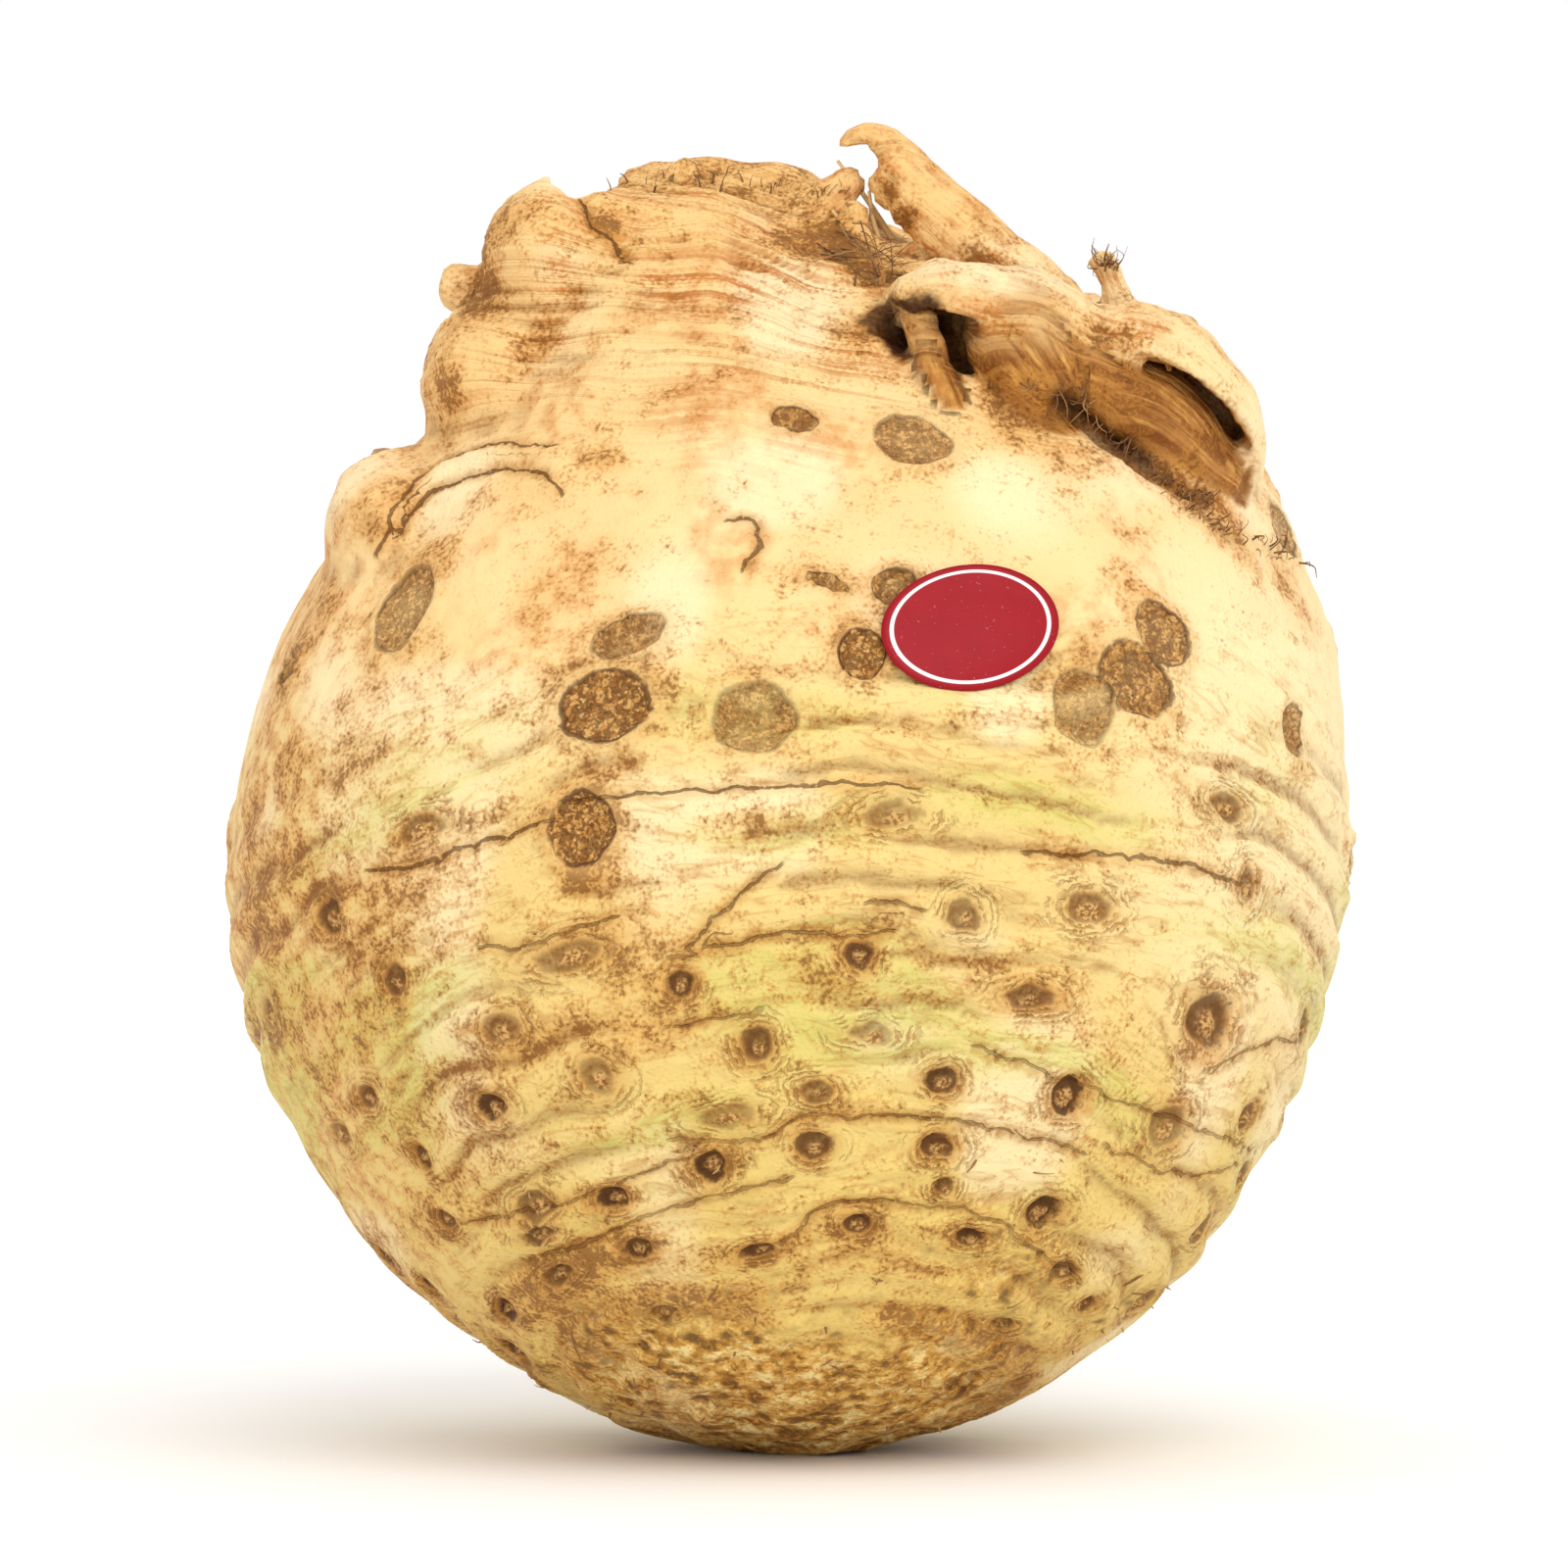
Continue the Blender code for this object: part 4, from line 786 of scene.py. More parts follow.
def hollow_masks(points, normals):
    """The walls of the crown's hollows that get painted shade, how dark that shade is, and the weathered
    limbs, with painted shade lower down, from 0 to 1.
    """
    mask = np.zeros(len(points))
    depth = np.zeros(len(points))
    high = np.flatnonzero(points[:, 2] > CROWN_BASE)
    for name, darkness in SHADED_HOLLOWS.items():
        places, _, widths = spine_stations(*GROOVES[name], SPINE_STATIONS)
        nearest, distance = nearest_station(points[high], *GROOVES[name])
        facing = ((places[nearest] - points[high]) * normals[high]).sum(1) / widths[nearest]
        cover = (1 - smoothstep(0.98, 1.12, distance)) * smoothstep(-0.5, 0.0, facing)
        mask[high] = np.maximum(mask[high], cover)
        depth[high] = np.maximum(depth[high], cover * darkness)
    weathered = np.zeros(len(points))
    for name in WEATHERED:
        _, distance = nearest_station(points[high], *LIMBS[name])
        weathered[high] = np.maximum(weathered[high], 1 - smoothstep(1.06, 1.25, distance))
    # Painted shade: the weathered limbs' brown grows stronger lower down.
    shaded = 0.4 + 0.6 * smoothstep(126, 119, points[:, 2])
    return np.stack([mask * (1 - weathered), depth, weathered * shaded], 1)


def line_distance(points, tree, lines, reach=6.0):
    """Millimetres from each point to the nearest of some lines that EYE sees on the skin, up to reach.

    The second result is the same measured square to the line, above 0 on one side and below on the other.
    """
    distance = np.full(len(points), reach)
    sideways = np.full(len(points), reach)
    for seen in lines:
        knots = np.arange(len(seen))
        at = np.linspace(0, len(seen) - 1, 12 * len(seen))
        curve = [hermite(np.stack([knots, axis], 1), at) for axis in np.array(seen).T]
        hits = [seen_point(tree, x, z) for x, z in zip(*curve)]
        line = np.array([place for place, _ in hits if place is not None])
        normals = np.array([normal for place, normal in hits if place is not None])
        square = unit(np.cross(normals, np.gradient(line, axis=0)))
        inside = (points > line.min(0) - reach) & (points < line.max(0) + reach)
        near = np.flatnonzero(inside.all(1))
        gaps = np.linalg.norm(points[near, None] - line[None], axis=2)
        nearest = gaps.argmin(1)
        gaps = gaps[np.arange(len(near)), nearest]
        closer = gaps < distance[near]
        distance[near[closer]] = gaps[closer]
        offset = points[near] - line[nearest]
        sideways[near[closer]] = (offset * square[nearest]).sum(1)[closer]
    return distance, sideways


def stained(points, tree):
    """How strongly the soiled patches, some of them painted shade at the left edge, cover each point."""
    cover = np.zeros(len(points))
    for x, z, width, height, tilt, strength in STAINS_AND_EDGE_SHADE:
        place, normal = seen_point(tree, x, z)
        if place is not None:
            distance, _ = scar_places(points, [scar_frame(place, normal, width, height, strength, tilt)])
            cover = np.maximum(cover, strength * np.exp(-((distance / 0.95) ** 2)))
    return cover


def sunk(points, normals, edges, steps):
    """How deep each point lies under the surface smoothed round it, in millimetres."""
    count = np.bincount(edges.ravel(), minlength=len(points))
    soft = points.copy()
    for _ in range(steps):
        total = np.zeros_like(soft)
        for axis in range(3):
            total[:, axis] = np.bincount(edges[:, 0], soft[edges[:, 1], axis], len(points))
            total[:, axis] += np.bincount(edges[:, 1], soft[edges[:, 0], axis], len(points))
        soft = 0.5 * soft + 0.5 * total / count[:, None]
    return ((soft - points) * normals).sum(1)


def paint(made, name, values):
    """Stores one value or vector per point for the shader to read."""
    kind, field = ("FLOAT", "value") if values.ndim == 1 else ("FLOAT_VECTOR", "vector")
    layer = made.data.attributes.new(name, kind, "POINT")
    layer.data.foreach_set(field, np.ascontiguousarray(values, np.float32).ravel())


def smooth_root():
    """The bulb and its crown as one fine, even mesh, before the relief."""
    knobs = [ellipsoid(name, *facts) for name, facts in KNOBS.items()]
    solid = joined("solid", [bulb()] + knobs, SOLID_VOXEL, SOLID_BLEND)
    tree = surface_tree(solid)
    crevice = [seen_point(tree, x, z)[0] for x, z in CREVICE]
    cutters = [limb(name, *facts) for name, facts in GROOVES.items()]
    cut_away(solid, cutters + [limb("crevice", crevice, CREVICE_RADII)])
    tree = surface_tree(solid)
    vein = [seen_point(tree, x, z)[0] for x, z in SHOULDER_VEIN]
    pieces = [solid, limb("shoulder_vein", vein, [VEIN_RADIUS] * len(vein), stations=40, sides=8)]
    pieces += [limb(name, *facts) for name, facts in LIMBS.items()]
    pieces += [sheath(name, *facts) for name, facts in SHEATHS.items()]
    return joined("root_skin", pieces, SKIN_VOXEL, SHELL_BLEND)


def read_skin(root):
    """What the relief and the colours need to know of each point of the smooth root."""
    tree = surface_tree(root)
    leaf, small = front_scars(tree)
    more_leaf, more_small = hidden_scars(tree, leaf + small)
    small += more_small
    skin = SimpleNamespace(points=read_points(root), normals=read_normals(root))
    points = skin.points
    warped = points + SCAR_WARP * np.stack([grain(points, WARP_SIZE, seed) for seed in WARP_SEEDS], 1)
    skin.leaf_scar, skin.leaf_tone = scar_places(warped, leaf + more_leaf)
    skin.root_scar, skin.root_tone = scar_places(warped, small)
    skin.stub, _ = scar_places(points, small, middle=STUB_PLACE)
    skin.phase = ring_phase(points, small)
    skin.rings, skin.fibres = ring_space(points, skin.phase), fibre_space(points)
    skin.along_leaf, skin.on_leaf = leaf_fibres(points)
    skin.crack, skin.crack_side = line_distance(warped, tree, CRACKS_AND_SHADE_LINES)
    skin.crevice, _ = line_distance(warped, tree, [CREVICE])
    skin.gap, _ = line_distance(warped, tree, [CREVICE_CORE])
    skin.stain = stained(points, tree)
    skin.hollow = hollow_masks(points, skin.normals)
    return skin


def raise_relief(root, skin):
    """Moves the points out and in, and keeps them over the floor."""
    points = skin.points
    height = growth_rings(points, skin.phase) + root_end(points) + crown_roughness(points, skin.fibres)
    height += leaf_scar_relief(skin.leaf_scar) + root_scar_relief(skin.root_scar, skin.stub, skin.root_tone)
    height += CRACK_LIP * np.exp(-(((skin.crack - 1.1) / 0.5) ** 2))
    height -= CRACK_DEPTH * np.exp(-((skin.crack / 0.5) ** 2))
    height += skin.stain * lumps(points, STAIN_CRUMBS)
    points = points + skin.normals * height[:, None]
    points[:, 2] = np.maximum(points[:, 2], 0)
    write_points(root, points)
    skin.points = points


def measure_depths(root, skin):
    """How far each point lies under the skin round it, at three scales."""
    edges = np.empty(len(root.data.edges) * 2, np.int32)
    root.data.edges.foreach_get("vertices", edges)
    edges = edges.reshape(-1, 2)
    normals = read_normals(root)
    depths = [sunk(skin.points, normals, edges, steps) for steps in DEPTH_STEPS]
    skin.fine, skin.middle, skin.broad = depths


def measure_zones(skin):
    """Each point's angle from the root pole, its share of the crown's colours, and two sizes of patches."""
    skin.pole = pole_angle(skin.points)
    skin.crown = smoothstep(*CROWN_TONES, skin.points[:, 2])
    skin.coarse, skin.blotch = grain(skin.points, 17, 21), grain(skin.points, 7, 22)


def grown_root():
    """The whole root as one fine mesh, with the values that its shader reads."""
    root = smooth_root()
    skin = read_skin(root)
    raise_relief(root, skin)
    measure_depths(root, skin)
    measure_zones(skin)
    paint_tints(root, skin)
    paint_grime_and_shade(root, skin)
    nothing = np.zeros(len(skin.points))
    paint(root, "rings", skin.rings)
    paint(root, "fibres", skin.fibres)
    paint(root, "along_leaf", skin.along_leaf)
    paint(root, "on_leaf", skin.on_leaf)
    paint(root, "leaf_scar", np.stack([skin.leaf_scar, skin.leaf_tone, nothing], 1))
    paint(root, "crack", np.stack([skin.crack, skin.crack_side, nothing], 1))
    paint(root, "root_scar", np.stack([skin.root_scar, skin.stub, skin.root_tone], 1))
    paint(root, "hollow", skin.hollow)
    root.data.shade_smooth()
    return root


def paint_tints(root, skin):
    """The skin's zone from root end to crown, its warm, pale and green patches, and painted shade on the left
    and painted light on the right.
    """
    points, pole = skin.points, skin.pole
    zone = pole + 14 * skin.coarse + 8 * skin.blotch
    blush = smoothstep(-0.05, 0.5, grain(points, 9, 25)) * smoothstep(66, 92, pole)
    # Painted shade: the left side takes the warm tint of the blushes.
    blush = np.maximum(blush, smoothstep(24, 56, -points[:, 0]))
    # Painted light: the right side turns pale, less so over the shoulders.
    lit_right = smoothstep(50, 70, pole) * (1 - 0.7 * smoothstep(95, 115, pole))
    lit_right = lit_right * smoothstep(24, 54, points[:, 0])
    pale = np.maximum(smoothstep(0.0, 0.6, grain(points, 12, 26)), lit_right)
    green = smoothstep(-0.1, 0.45, grain(skin.rings, 7, 27)) * smoothstep(26, 42, pole)
    green = green * (1 - smoothstep(80, 100, pole))
    paint(root, "zone", np.stack([zone, pole, skin.crown], 1))
    paint(root, "tints_and_side_shading", np.stack([blush, pale, green], 1))


def scurf_and_side_shade(skin):
    """How much fine brown scurf each point of the skin holds, with more on the left side as painted shade and
    less on the right as painted light.
    """
    points, pole = skin.points, skin.pole
    streak, fine_streak = grain(skin.rings, 6, 23), grain(skin.rings, 2.6, 24)
    lower = 1 - smoothstep(*LAST_RINGS, pole)
    scurf = 0.04 + (1 - lower) * (0.42 * skin.blotch + 0.25 * skin.coarse)
    scurf += lower * (0.32 * streak + 0.28 * fine_streak)
    scurf += (1 - smoothstep(14, 40, pole)) * (0.15 + 0.3 * streak + 0.3 * fine_streak)
    scurf += 0.12 * (1 - smoothstep(46, 80, pole))
    scurf += 0.75 * skin.stain
    scurf += 0.4 * skin.leaf_tone * np.exp(-(((skin.leaf_scar - 1.25) / 0.45) ** 2))
    scurf += 0.35 * skin.root_tone * np.exp(-(((skin.root_scar - 0.9) / 0.9) ** 2))
    scurf += skin.crown * (0.4 * grain(points, 5, 28) - 0.06)
    scurf += 0.35 * smoothstep(0.05, 0.5, skin.middle)
    scurf += 0.5 * np.exp(-((skin.crevice / 3.0) ** 2))
    # Painted shade: more scurf towards the left side; painted light: less towards the right.
    scurf += 0.24 * smoothstep(26, 56, -points[:, 0]) - 0.16 * smoothstep(18, 44, points[:, 0])
    return np.clip(scurf, 0, 0.85)


def paint_grime_and_shade(root, skin):
    """The scurf and the rust in the crown's creases. Soil and painted shade in what is sunk, and near-black
    painted shade in the deepest places and the crevice's core.
    """
    rust = 0.55 * skin.stain + 0.9 * skin.middle + 0.42
    rust += 0.6 * grain(skin.points, 5, 29) + 0.3 * grain(skin.fibres, 3, 30)
    rust = np.maximum(skin.crown * smoothstep(0.35, 1.1, rust), np.exp(-((skin.crevice / 3.0) ** 2)))
    # Soil and painted shade: brown where the skin is sunk. Soil alone on the strongest stains.
    soil = smoothstep(0.08, 0.7, 1.6 * skin.fine + 1.2 * skin.middle + 0.3 * skin.broad)
    soil = np.maximum(soil, 0.8 * smoothstep(0.7, 1.3, skin.stain))
    # Painted shade: near black where the skin is sunk deepest and along the crevice's core.
    dark = smoothstep(1.0, 2.6, skin.broad + 0.5 * skin.middle)
    dark = np.maximum(dark, 0.95 * np.exp(-((skin.gap / 1.2) ** 2)))
    paint(root, "grime_and_shade", np.stack([scurf_and_side_shade(skin), rust, soil], 1))
    paint(root, "dark", dark)


def linear(colour):
    """An 8-bit screen colour as a linear colour with alpha 1."""
    share = np.array(colour) / 255
    return (*np.where(share < 0.04045, share / 12.92, ((share + 0.055) / 1.055) ** 2.4), 1.0)


class Graph:
    """Short names for the shader nodes of one material. Sizes are in millimetres."""

    def __init__(self, name):
        self.material = bpy.data.materials.new(name)
        self.material.use_nodes = True
        self.nodes = self.material.node_tree.nodes
        self.links = self.material.node_tree.links
        self.shader = self.nodes["Principled BSDF"]
        coordinates = self.nodes.new("ShaderNodeTexCoord").outputs["Object"]
        self.place = self.scaled(coordinates, 1 / MM)

    def feed(self, socket, value):
        if isinstance(value, bpy.types.NodeSocket):
            self.links.new(value, socket)
        else:
            socket.default_value = value

    def attribute(self, name, output="Fac"):
        node = self.nodes.new("ShaderNodeAttribute")
        node.attribute_name = name
        return node.outputs[output]

    def parts(self, vector):
        node = self.nodes.new("ShaderNodeSeparateXYZ")
        self.feed(node.inputs[0], vector)
        return node.outputs

    def scaled(self, vector, factor):
        node = self.nodes.new("ShaderNodeVectorMath")
        node.operation = "SCALE"
        self.feed(node.inputs[0], vector)
        self.feed(node.inputs["Scale"], factor)
        return node.outputs[0]

    def warped(self, size, reach):
        """The place, moved about by up to reach in lumps of the size given."""
        noise = self.nodes.new("ShaderNodeTexNoise")
        self.feed(noise.inputs["Vector"], self.place)
        noise.inputs["Scale"].default_value = 1 / size
        noise.inputs["Detail"].default_value = 1
        node = self.nodes.new("ShaderNodeVectorMath")
        node.operation = "MULTIPLY_ADD"
        self.feed(node.inputs[0], noise.outputs["Color"])
        self.feed(node.inputs[1], (2 * reach,) * 3)
        self.feed(node.inputs[2], self.place)
        return node.outputs[0]

    def math(self, operation, a, b=0.0):
        node = self.nodes.new("ShaderNodeMath")
        node.operation = operation
        self.feed(node.inputs[0], a)
        self.feed(node.inputs[1], b)
        return node.outputs[0]

    def add(self, *values):
        total = values[0]
        for value in values[1:]:
            total = self.math("ADD", total, value)
        return total

    def times(self, *values):
        total = values[0]
        for value in values[1:]:
            total = self.math("MULTIPLY", total, value)
        return total

    def step(self, value, low, high):
        """0 below low and 1 above high, smooth between; with low above high it falls instead."""
        node = self.nodes.new("ShaderNodeMapRange")
        node.interpolation_type = "SMOOTHSTEP"
        self.feed(node.inputs["Value"], value)
        node.inputs["From Min"].default_value = min(low, high)
        node.inputs["From Max"].default_value = max(low, high)
        node.inputs["To Min"].default_value = 0.0 if low < high else 1.0
        node.inputs["To Max"].default_value = 1.0 if low < high else 0.0
        return node.outputs[0]

    def blend(self, share, a, b):
        """One value mixed from two."""
        return self.add(self.times(a, self.math("SUBTRACT", 1.0, share)), self.times(b, share))

    def noise(self, size, vector=None, detail=2.0):
        """Noise from 0 to 1 with lumps of the size given."""
        node = self.nodes.new("ShaderNodeTexNoise")
        self.feed(node.inputs["Vector"], self.place if vector is None else vector)
        node.inputs["Scale"].default_value = 1 / size
        node.inputs["Detail"].default_value = detail
        return node.outputs["Fac"]

    def cells(self, size, vector):
        """Random cells of the size given: the distance from their middles, in cells, and a tone for each."""
        node = self.nodes.new("ShaderNodeTexVoronoi")
        self.feed(node.inputs["Vector"], vector)
        node.inputs["Scale"].default_value = 1 / size
        return node.outputs["Distance"], self.parts(node.outputs["Color"])[0]

    def ramp(self, value, stops):
        """A colour by value, from (value, colour) stops that run from 0 to 1."""
        node = self.nodes.new("ShaderNodeValToRGB")
        self.feed(node.inputs[0], value)
        while len(node.color_ramp.elements) < len(stops):
            node.color_ramp.elements.new(0.5)
        for element, (position, colour) in zip(node.color_ramp.elements, stops):
            element.position = position
            element.color = linear(colour)
        return node.outputs[0]

    def mix(self, share, a, b, blend="MIX"):
        node = self.nodes.new("ShaderNodeMix")
        node.data_type = "RGBA"
        node.blend_type = blend
        self.feed(node.inputs[0], share)
        for socket, colour in ((node.inputs[6], a), (node.inputs[7], b)):
            self.feed(socket, colour if isinstance(colour, bpy.types.NodeSocket) else linear(colour))
        return node.outputs[2]

    def finish(self, colour, roughness, height, shine=0.5):
        """Joins the results to the shader. height is in millimetres."""
        self.shader.inputs["Specular IOR Level"].default_value = shine
        node = self.nodes.new("ShaderNodeBump")
        node.inputs["Strength"].default_value = 1.0
        node.inputs["Distance"].default_value = MM
        self.feed(node.inputs["Height"], height)
        self.feed(self.shader.inputs["Base Color"], colour)
        self.feed(self.shader.inputs["Roughness"], roughness)
        self.feed(self.shader.inputs["Normal"], node.outputs[0])
        return self.material


def skin_fields(g):
    """The values painted on the skin and the noises that follow it, for its colour and relief."""
    s = SimpleNamespace()
    s.zone, s.pole, s.crown = g.parts(g.attribute("zone", "Vector"))
    s.blush, s.pale, s.green = g.parts(g.attribute("tints_and_side_shading", "Vector"))
    s.scurf, s.rust, s.soil = g.parts(g.attribute("grime_and_shade", "Vector"))
    s.leaf, s.leaf_tone, _ = g.parts(g.attribute("leaf_scar", "Vector"))
    s.root, s.stub, s.root_tone = g.parts(g.attribute("root_scar", "Vector"))
    s.crack, s.crack_side, _ = g.parts(g.attribute("crack", "Vector"))
    s.hollow, s.hollow_depth, s.weathered = g.parts(g.attribute("hollow", "Vector"))
    s.below = g.step(s.pole, 106, 88)
    s.fleck = g.noise(FLECK, detail=3)
    s.small = g.noise(LUMP)
    s.thread = g.noise(RING_THREAD, g.attribute("rings", "Vector"))
    s.wrinkle = g.noise(WRINKLE, g.attribute("rings", "Vector"), detail=1)
    up_crown = g.noise(CROWN_THREAD, g.attribute("fibres", "Vector"))
    up_leaf = g.noise(LEAF_THREAD, g.attribute("along_leaf", "Vector"))
    s.fibre = g.blend(g.attribute("on_leaf"), up_crown, up_leaf)
    s.granule, s.granule_tone = g.cells(GRANULE, g.warped(GRANULE_WARP, GRANULE_WARP))
    s.wobble = g.math("SUBTRACT", s.small, 0.5)
    s.flutter = g.math("SUBTRACT", s.fleck, 0.5)
    return s


def zone_colour(g, s):
    """The zones from root end to crown, with warm blushes, pale patches and green streaks, and painted shade
    on the left and painted light on the right.
    """
    colour = g.ramp(g.times(s.zone, 1 / 180), [(angle / 180, shade) for angle, shade in SKIN_STOPS])
    colour = g.mix(g.times(s.blush, g.step(s.small, 0.35, 0.65), 0.7), colour, BLUSH_AND_SHADE)
    colour = g.mix(g.times(s.pale, 0.6), colour, PALE_AND_LIT)
    streaks = g.add(0.3, g.times(g.step(s.thread, 0.35, 0.6), 0.35))
    colour = g.mix(g.times(s.green, streaks), colour, GREEN)
    return g.mix(g.times(s.below, g.step(s.thread, 0.54, 0.70), 0.35), colour, RING_STREAK)


def ring_lines(g, s, colour):
    """Thin lines that run with the growth rings."""
    contour = g.math("PINGPONG", g.times(g.add(s.wrinkle, g.times(s.small, 0.08)), 7.0), 0.5)
    broken = g.step(s.thread, 0.42, 0.58)
    line = g.times(g.step(contour, 0.2, 0.02), s.below, broken, g.step(s.pole, 12, 30))
    return g.mix(g.times(line, 0.34), colour, RING_LINE)


def crown_colour(g, s, colour):
    """The crown's fibres, the rust in its creases, and its weathered limbs, more strongly brown lower down as
    painted shade.
    """
    colour = g.mix(g.times(s.crown, g.step(s.fibre, 0.52, 0.68), 0.24), colour, CROWN_FIBRE)
    creases = g.step(g.add(s.fibre, g.times(s.fleck, 0.5)), 0.60, 0.86)
    colour = g.mix(g.times(s.rust, creases, 0.9), colour, RUST)
    colour = g.mix(g.times(s.weathered, 0.92), colour, g.mix(g.step(s.small, 0.4, 0.62), *WEATHERED_SKIN))
    streaks = g.step(g.add(s.fibre, g.times(s.small, 0.4)), 0.55, 0.8)
    return g.mix(g.times(s.weathered, streaks, 0.85), colour, WEATHERED_STREAK)


def scurf_colour(g, s, colour):
    """Fine brown grains, closer together where there is more scurf."""
    level = g.add(g.times(s.fleck, 0.8), g.times(s.small, 0.6), g.times(s.thread, s.below, 0.15),
                  g.times(s.fibre, s.crown, 0.2))
    level = g.add(level, g.times(s.scurf, 0.36))
    colour = g.mix(g.times(g.step(s.scurf, 0.1, 0.8), 0.45), colour, SCURF)
    colour = g.mix(g.times(g.step(level, 0.82, 0.98), 0.5), colour, g.mix(s.small, *SCURF_GRAINS))
    return g.mix(g.times(g.step(level, 0.96, 1.1), 0.65), colour, SCURF_CORE)


def soil_and_shade_colour(g, s, colour):
    """Soil and painted shade in what is sunk, painted shade in the crown's hollows, and near-black painted
    shade in the deepest places.
    """
    # Soil and painted shade: brown in what is sunk.
    colour = g.mix(g.times(s.soil, g.add(0.35, g.times(s.fleck, 0.7)), 0.8), colour, SOIL_AND_SHADE)
    # Painted shade: the walls of the crown's hollows, darker with depth.
    inside = g.mix(g.step(s.fibre, 0.35, 0.65), *SHADED_HOLLOW_WALL)
    inside = g.mix(g.times(s.hollow_depth, 0.95), inside, HOLLOW_SHADE)
    colour = g.mix(g.times(s.hollow, 0.95), colour, inside)
    # Painted shade: near black in the deepest hollows and the crevice's core.
    return g.mix(g.attribute("dark"), colour, DEEP_SHADE)


def crack_and_shade_line_colour(g, s, colour):
    """The long cracks: a ragged brown edge round a thin dark line, which along the crown's left crease and
    the shoulder vein is painted shade.
    """
    ragged = g.add(s.crack, g.times(s.wobble, 1.5), g.times(s.flutter, 0.9))
    colour = g.mix(g.times(g.step(ragged, 1.4, 0.3), 0.35), colour, CRACK_EDGE)
    off_line = g.math("ABSOLUTE", g.add(s.crack_side, g.times(s.wobble, 1.6)))
    # Along the left crease and the shoulder vein this dark line is painted shade.
    s.split = g.times(g.step(off_line, 0.26, 0.08), g.step(s.crack, 1.4, 0.8), g.step(s.fleck, 0.3, 0.45))
    return g.mix(g.times(s.split, g.add(0.4, g.times(g.step(s.pole, 55, 80), 0.35))), colour, CRACK_CORE)


def leaf_scar_colour(g, s, colour):
    """Leaf scars: granular cork inside a dark ring."""
    leaf = g.add(s.leaf, g.times(s.wobble, 0.35), g.times(s.flutter, 0.12))
    cork = g.ramp(s.granule_tone, CORK_STOPS)
    cork = g.mix(g.times(g.step(g.add(s.granule, g.times(s.small, 0.9)), 0.84, 1.06), 0.7), cork, CORK_GAP)
    cork = g.mix(g.times(g.step(s.fleck, 0.5, 0.62), 0.5), cork, CORK_SPECK)
    s.disc = g.step(leaf, 1.02, 0.94)
    colour = g.mix(g.times(g.step(leaf, 1.5, 1.1), s.leaf_tone, 0.35), colour, LEAF_SCAR_HALO)
    colour = g.mix(g.times(s.disc, g.add(0.25, g.times(s.leaf_tone, 0.7))), colour, cork)
    ring = g.step(g.math("ABSOLUTE", g.math("SUBTRACT", leaf, 1.0)), 0.085, 0.03)
    ring = g.times(ring, g.add(0.15, s.leaf_tone), g.step(s.small, 0.32, 0.5), 0.7)
    return g.mix(ring, colour, LEAF_SCAR_RING)


def root_scar_colour(g, s, colour):
    """Root scars: a dark pit round a paler stub, in a tan halo with ripples round it."""
    root = g.add(s.root, g.times(s.wobble, 0.9), g.times(s.flutter, 0.5))
    halo = g.times(g.step(root, 1.8, 0.9), g.add(0.15, g.times(s.root_tone, 0.3)))
    colour = g.mix(halo, colour, ROOT_SCAR_HALO)
    ripple = g.step(g.math("PINGPONG", g.times(root, 2.6), 0.5), 0.3, 0.02)
    s.ripple = g.times(ripple, g.step(root, 2.7, 1.4), g.step(root, 0.9, 1.1), g.step(s.small, 0.38, 0.55))
    colour = g.mix(g.times(s.ripple, 0.42), colour, RIPPLE)
    pit = g.times(g.step(root, 0.98, 0.72), g.add(0.1, g.times(s.root_tone, 0.8)))
    colour = g.mix(pit, colour, PIT)
    stub = g.step(g.add(s.stub, g.times(s.wobble, 0.7)), 0.55, 0.3)
    return g.mix(g.times(stub, 0.8), colour, g.mix(g.step(s.fleck, 0.4, 0.6), *STUB))


def root_end_colour(g, s, colour):
    """The root end: brown and granular."""
    s.tip = g.step(g.add(s.zone, g.times(s.wobble, 30.0)), 30, 12)
    tone = g.add(g.times(s.granule_tone, 0.5), g.times(s.wobble, 2.6), g.times(s.thread, 0.6), -0.02)
    granules = g.ramp(tone, ROOT_END_STOPS)
    granules = g.mix(g.times(g.step(s.granule, 0.5, 0.85), 0.5), granules, ROOT_END_GAP)
    return g.mix(g.times(s.tip, 0.85), colour, granules)


def skin_relief(g, s):
    """Relief too fine for the mesh, in millimetres."""
    return g.add(
        g.times(s.fleck, 0.2),
        g.times(s.small, 0.35),
        g.times(s.thread, s.below, 0.4),
        g.times(s.fibre, s.crown, 0.7),
        g.times(s.disc, s.fleck, 0.5),
        g.times(s.tip, s.small, 1.2),
        g.times(s.split, -0.25),
        g.times(s.ripple, -0.2),
    )


def skin_material():
    g = Graph("celeriac_skin")
    s = skin_fields(g)
    colour = zone_colour(g, s)
    for layer in (ring_lines, crown_colour, scurf_colour, soil_and_shade_colour, crack_and_shade_line_colour, leaf_scar_colour,
                  root_scar_colour, root_end_colour):
        colour = layer(g, s, colour)
    roughness = g.add(0.5, g.times(s.small, 0.2), g.times(s.crown, 0.1), g.times(s.tip, 0.1))
    return g.finish(colour, roughness, skin_relief(g, s), shine=0.2)


def fibre_material():
    g = Graph("dry_fibre")
    colour = g.ramp(g.attribute("strand_tone"), FIBRE_STOPS)
    colour = g.mix(g.times(g.step(g.noise(1.5), 0.5, 0.7), 0.5), colour, FIBRE_PATCH)
    return g.finish(colour, 0.75, g.times(g.noise(0.3), 0.08))


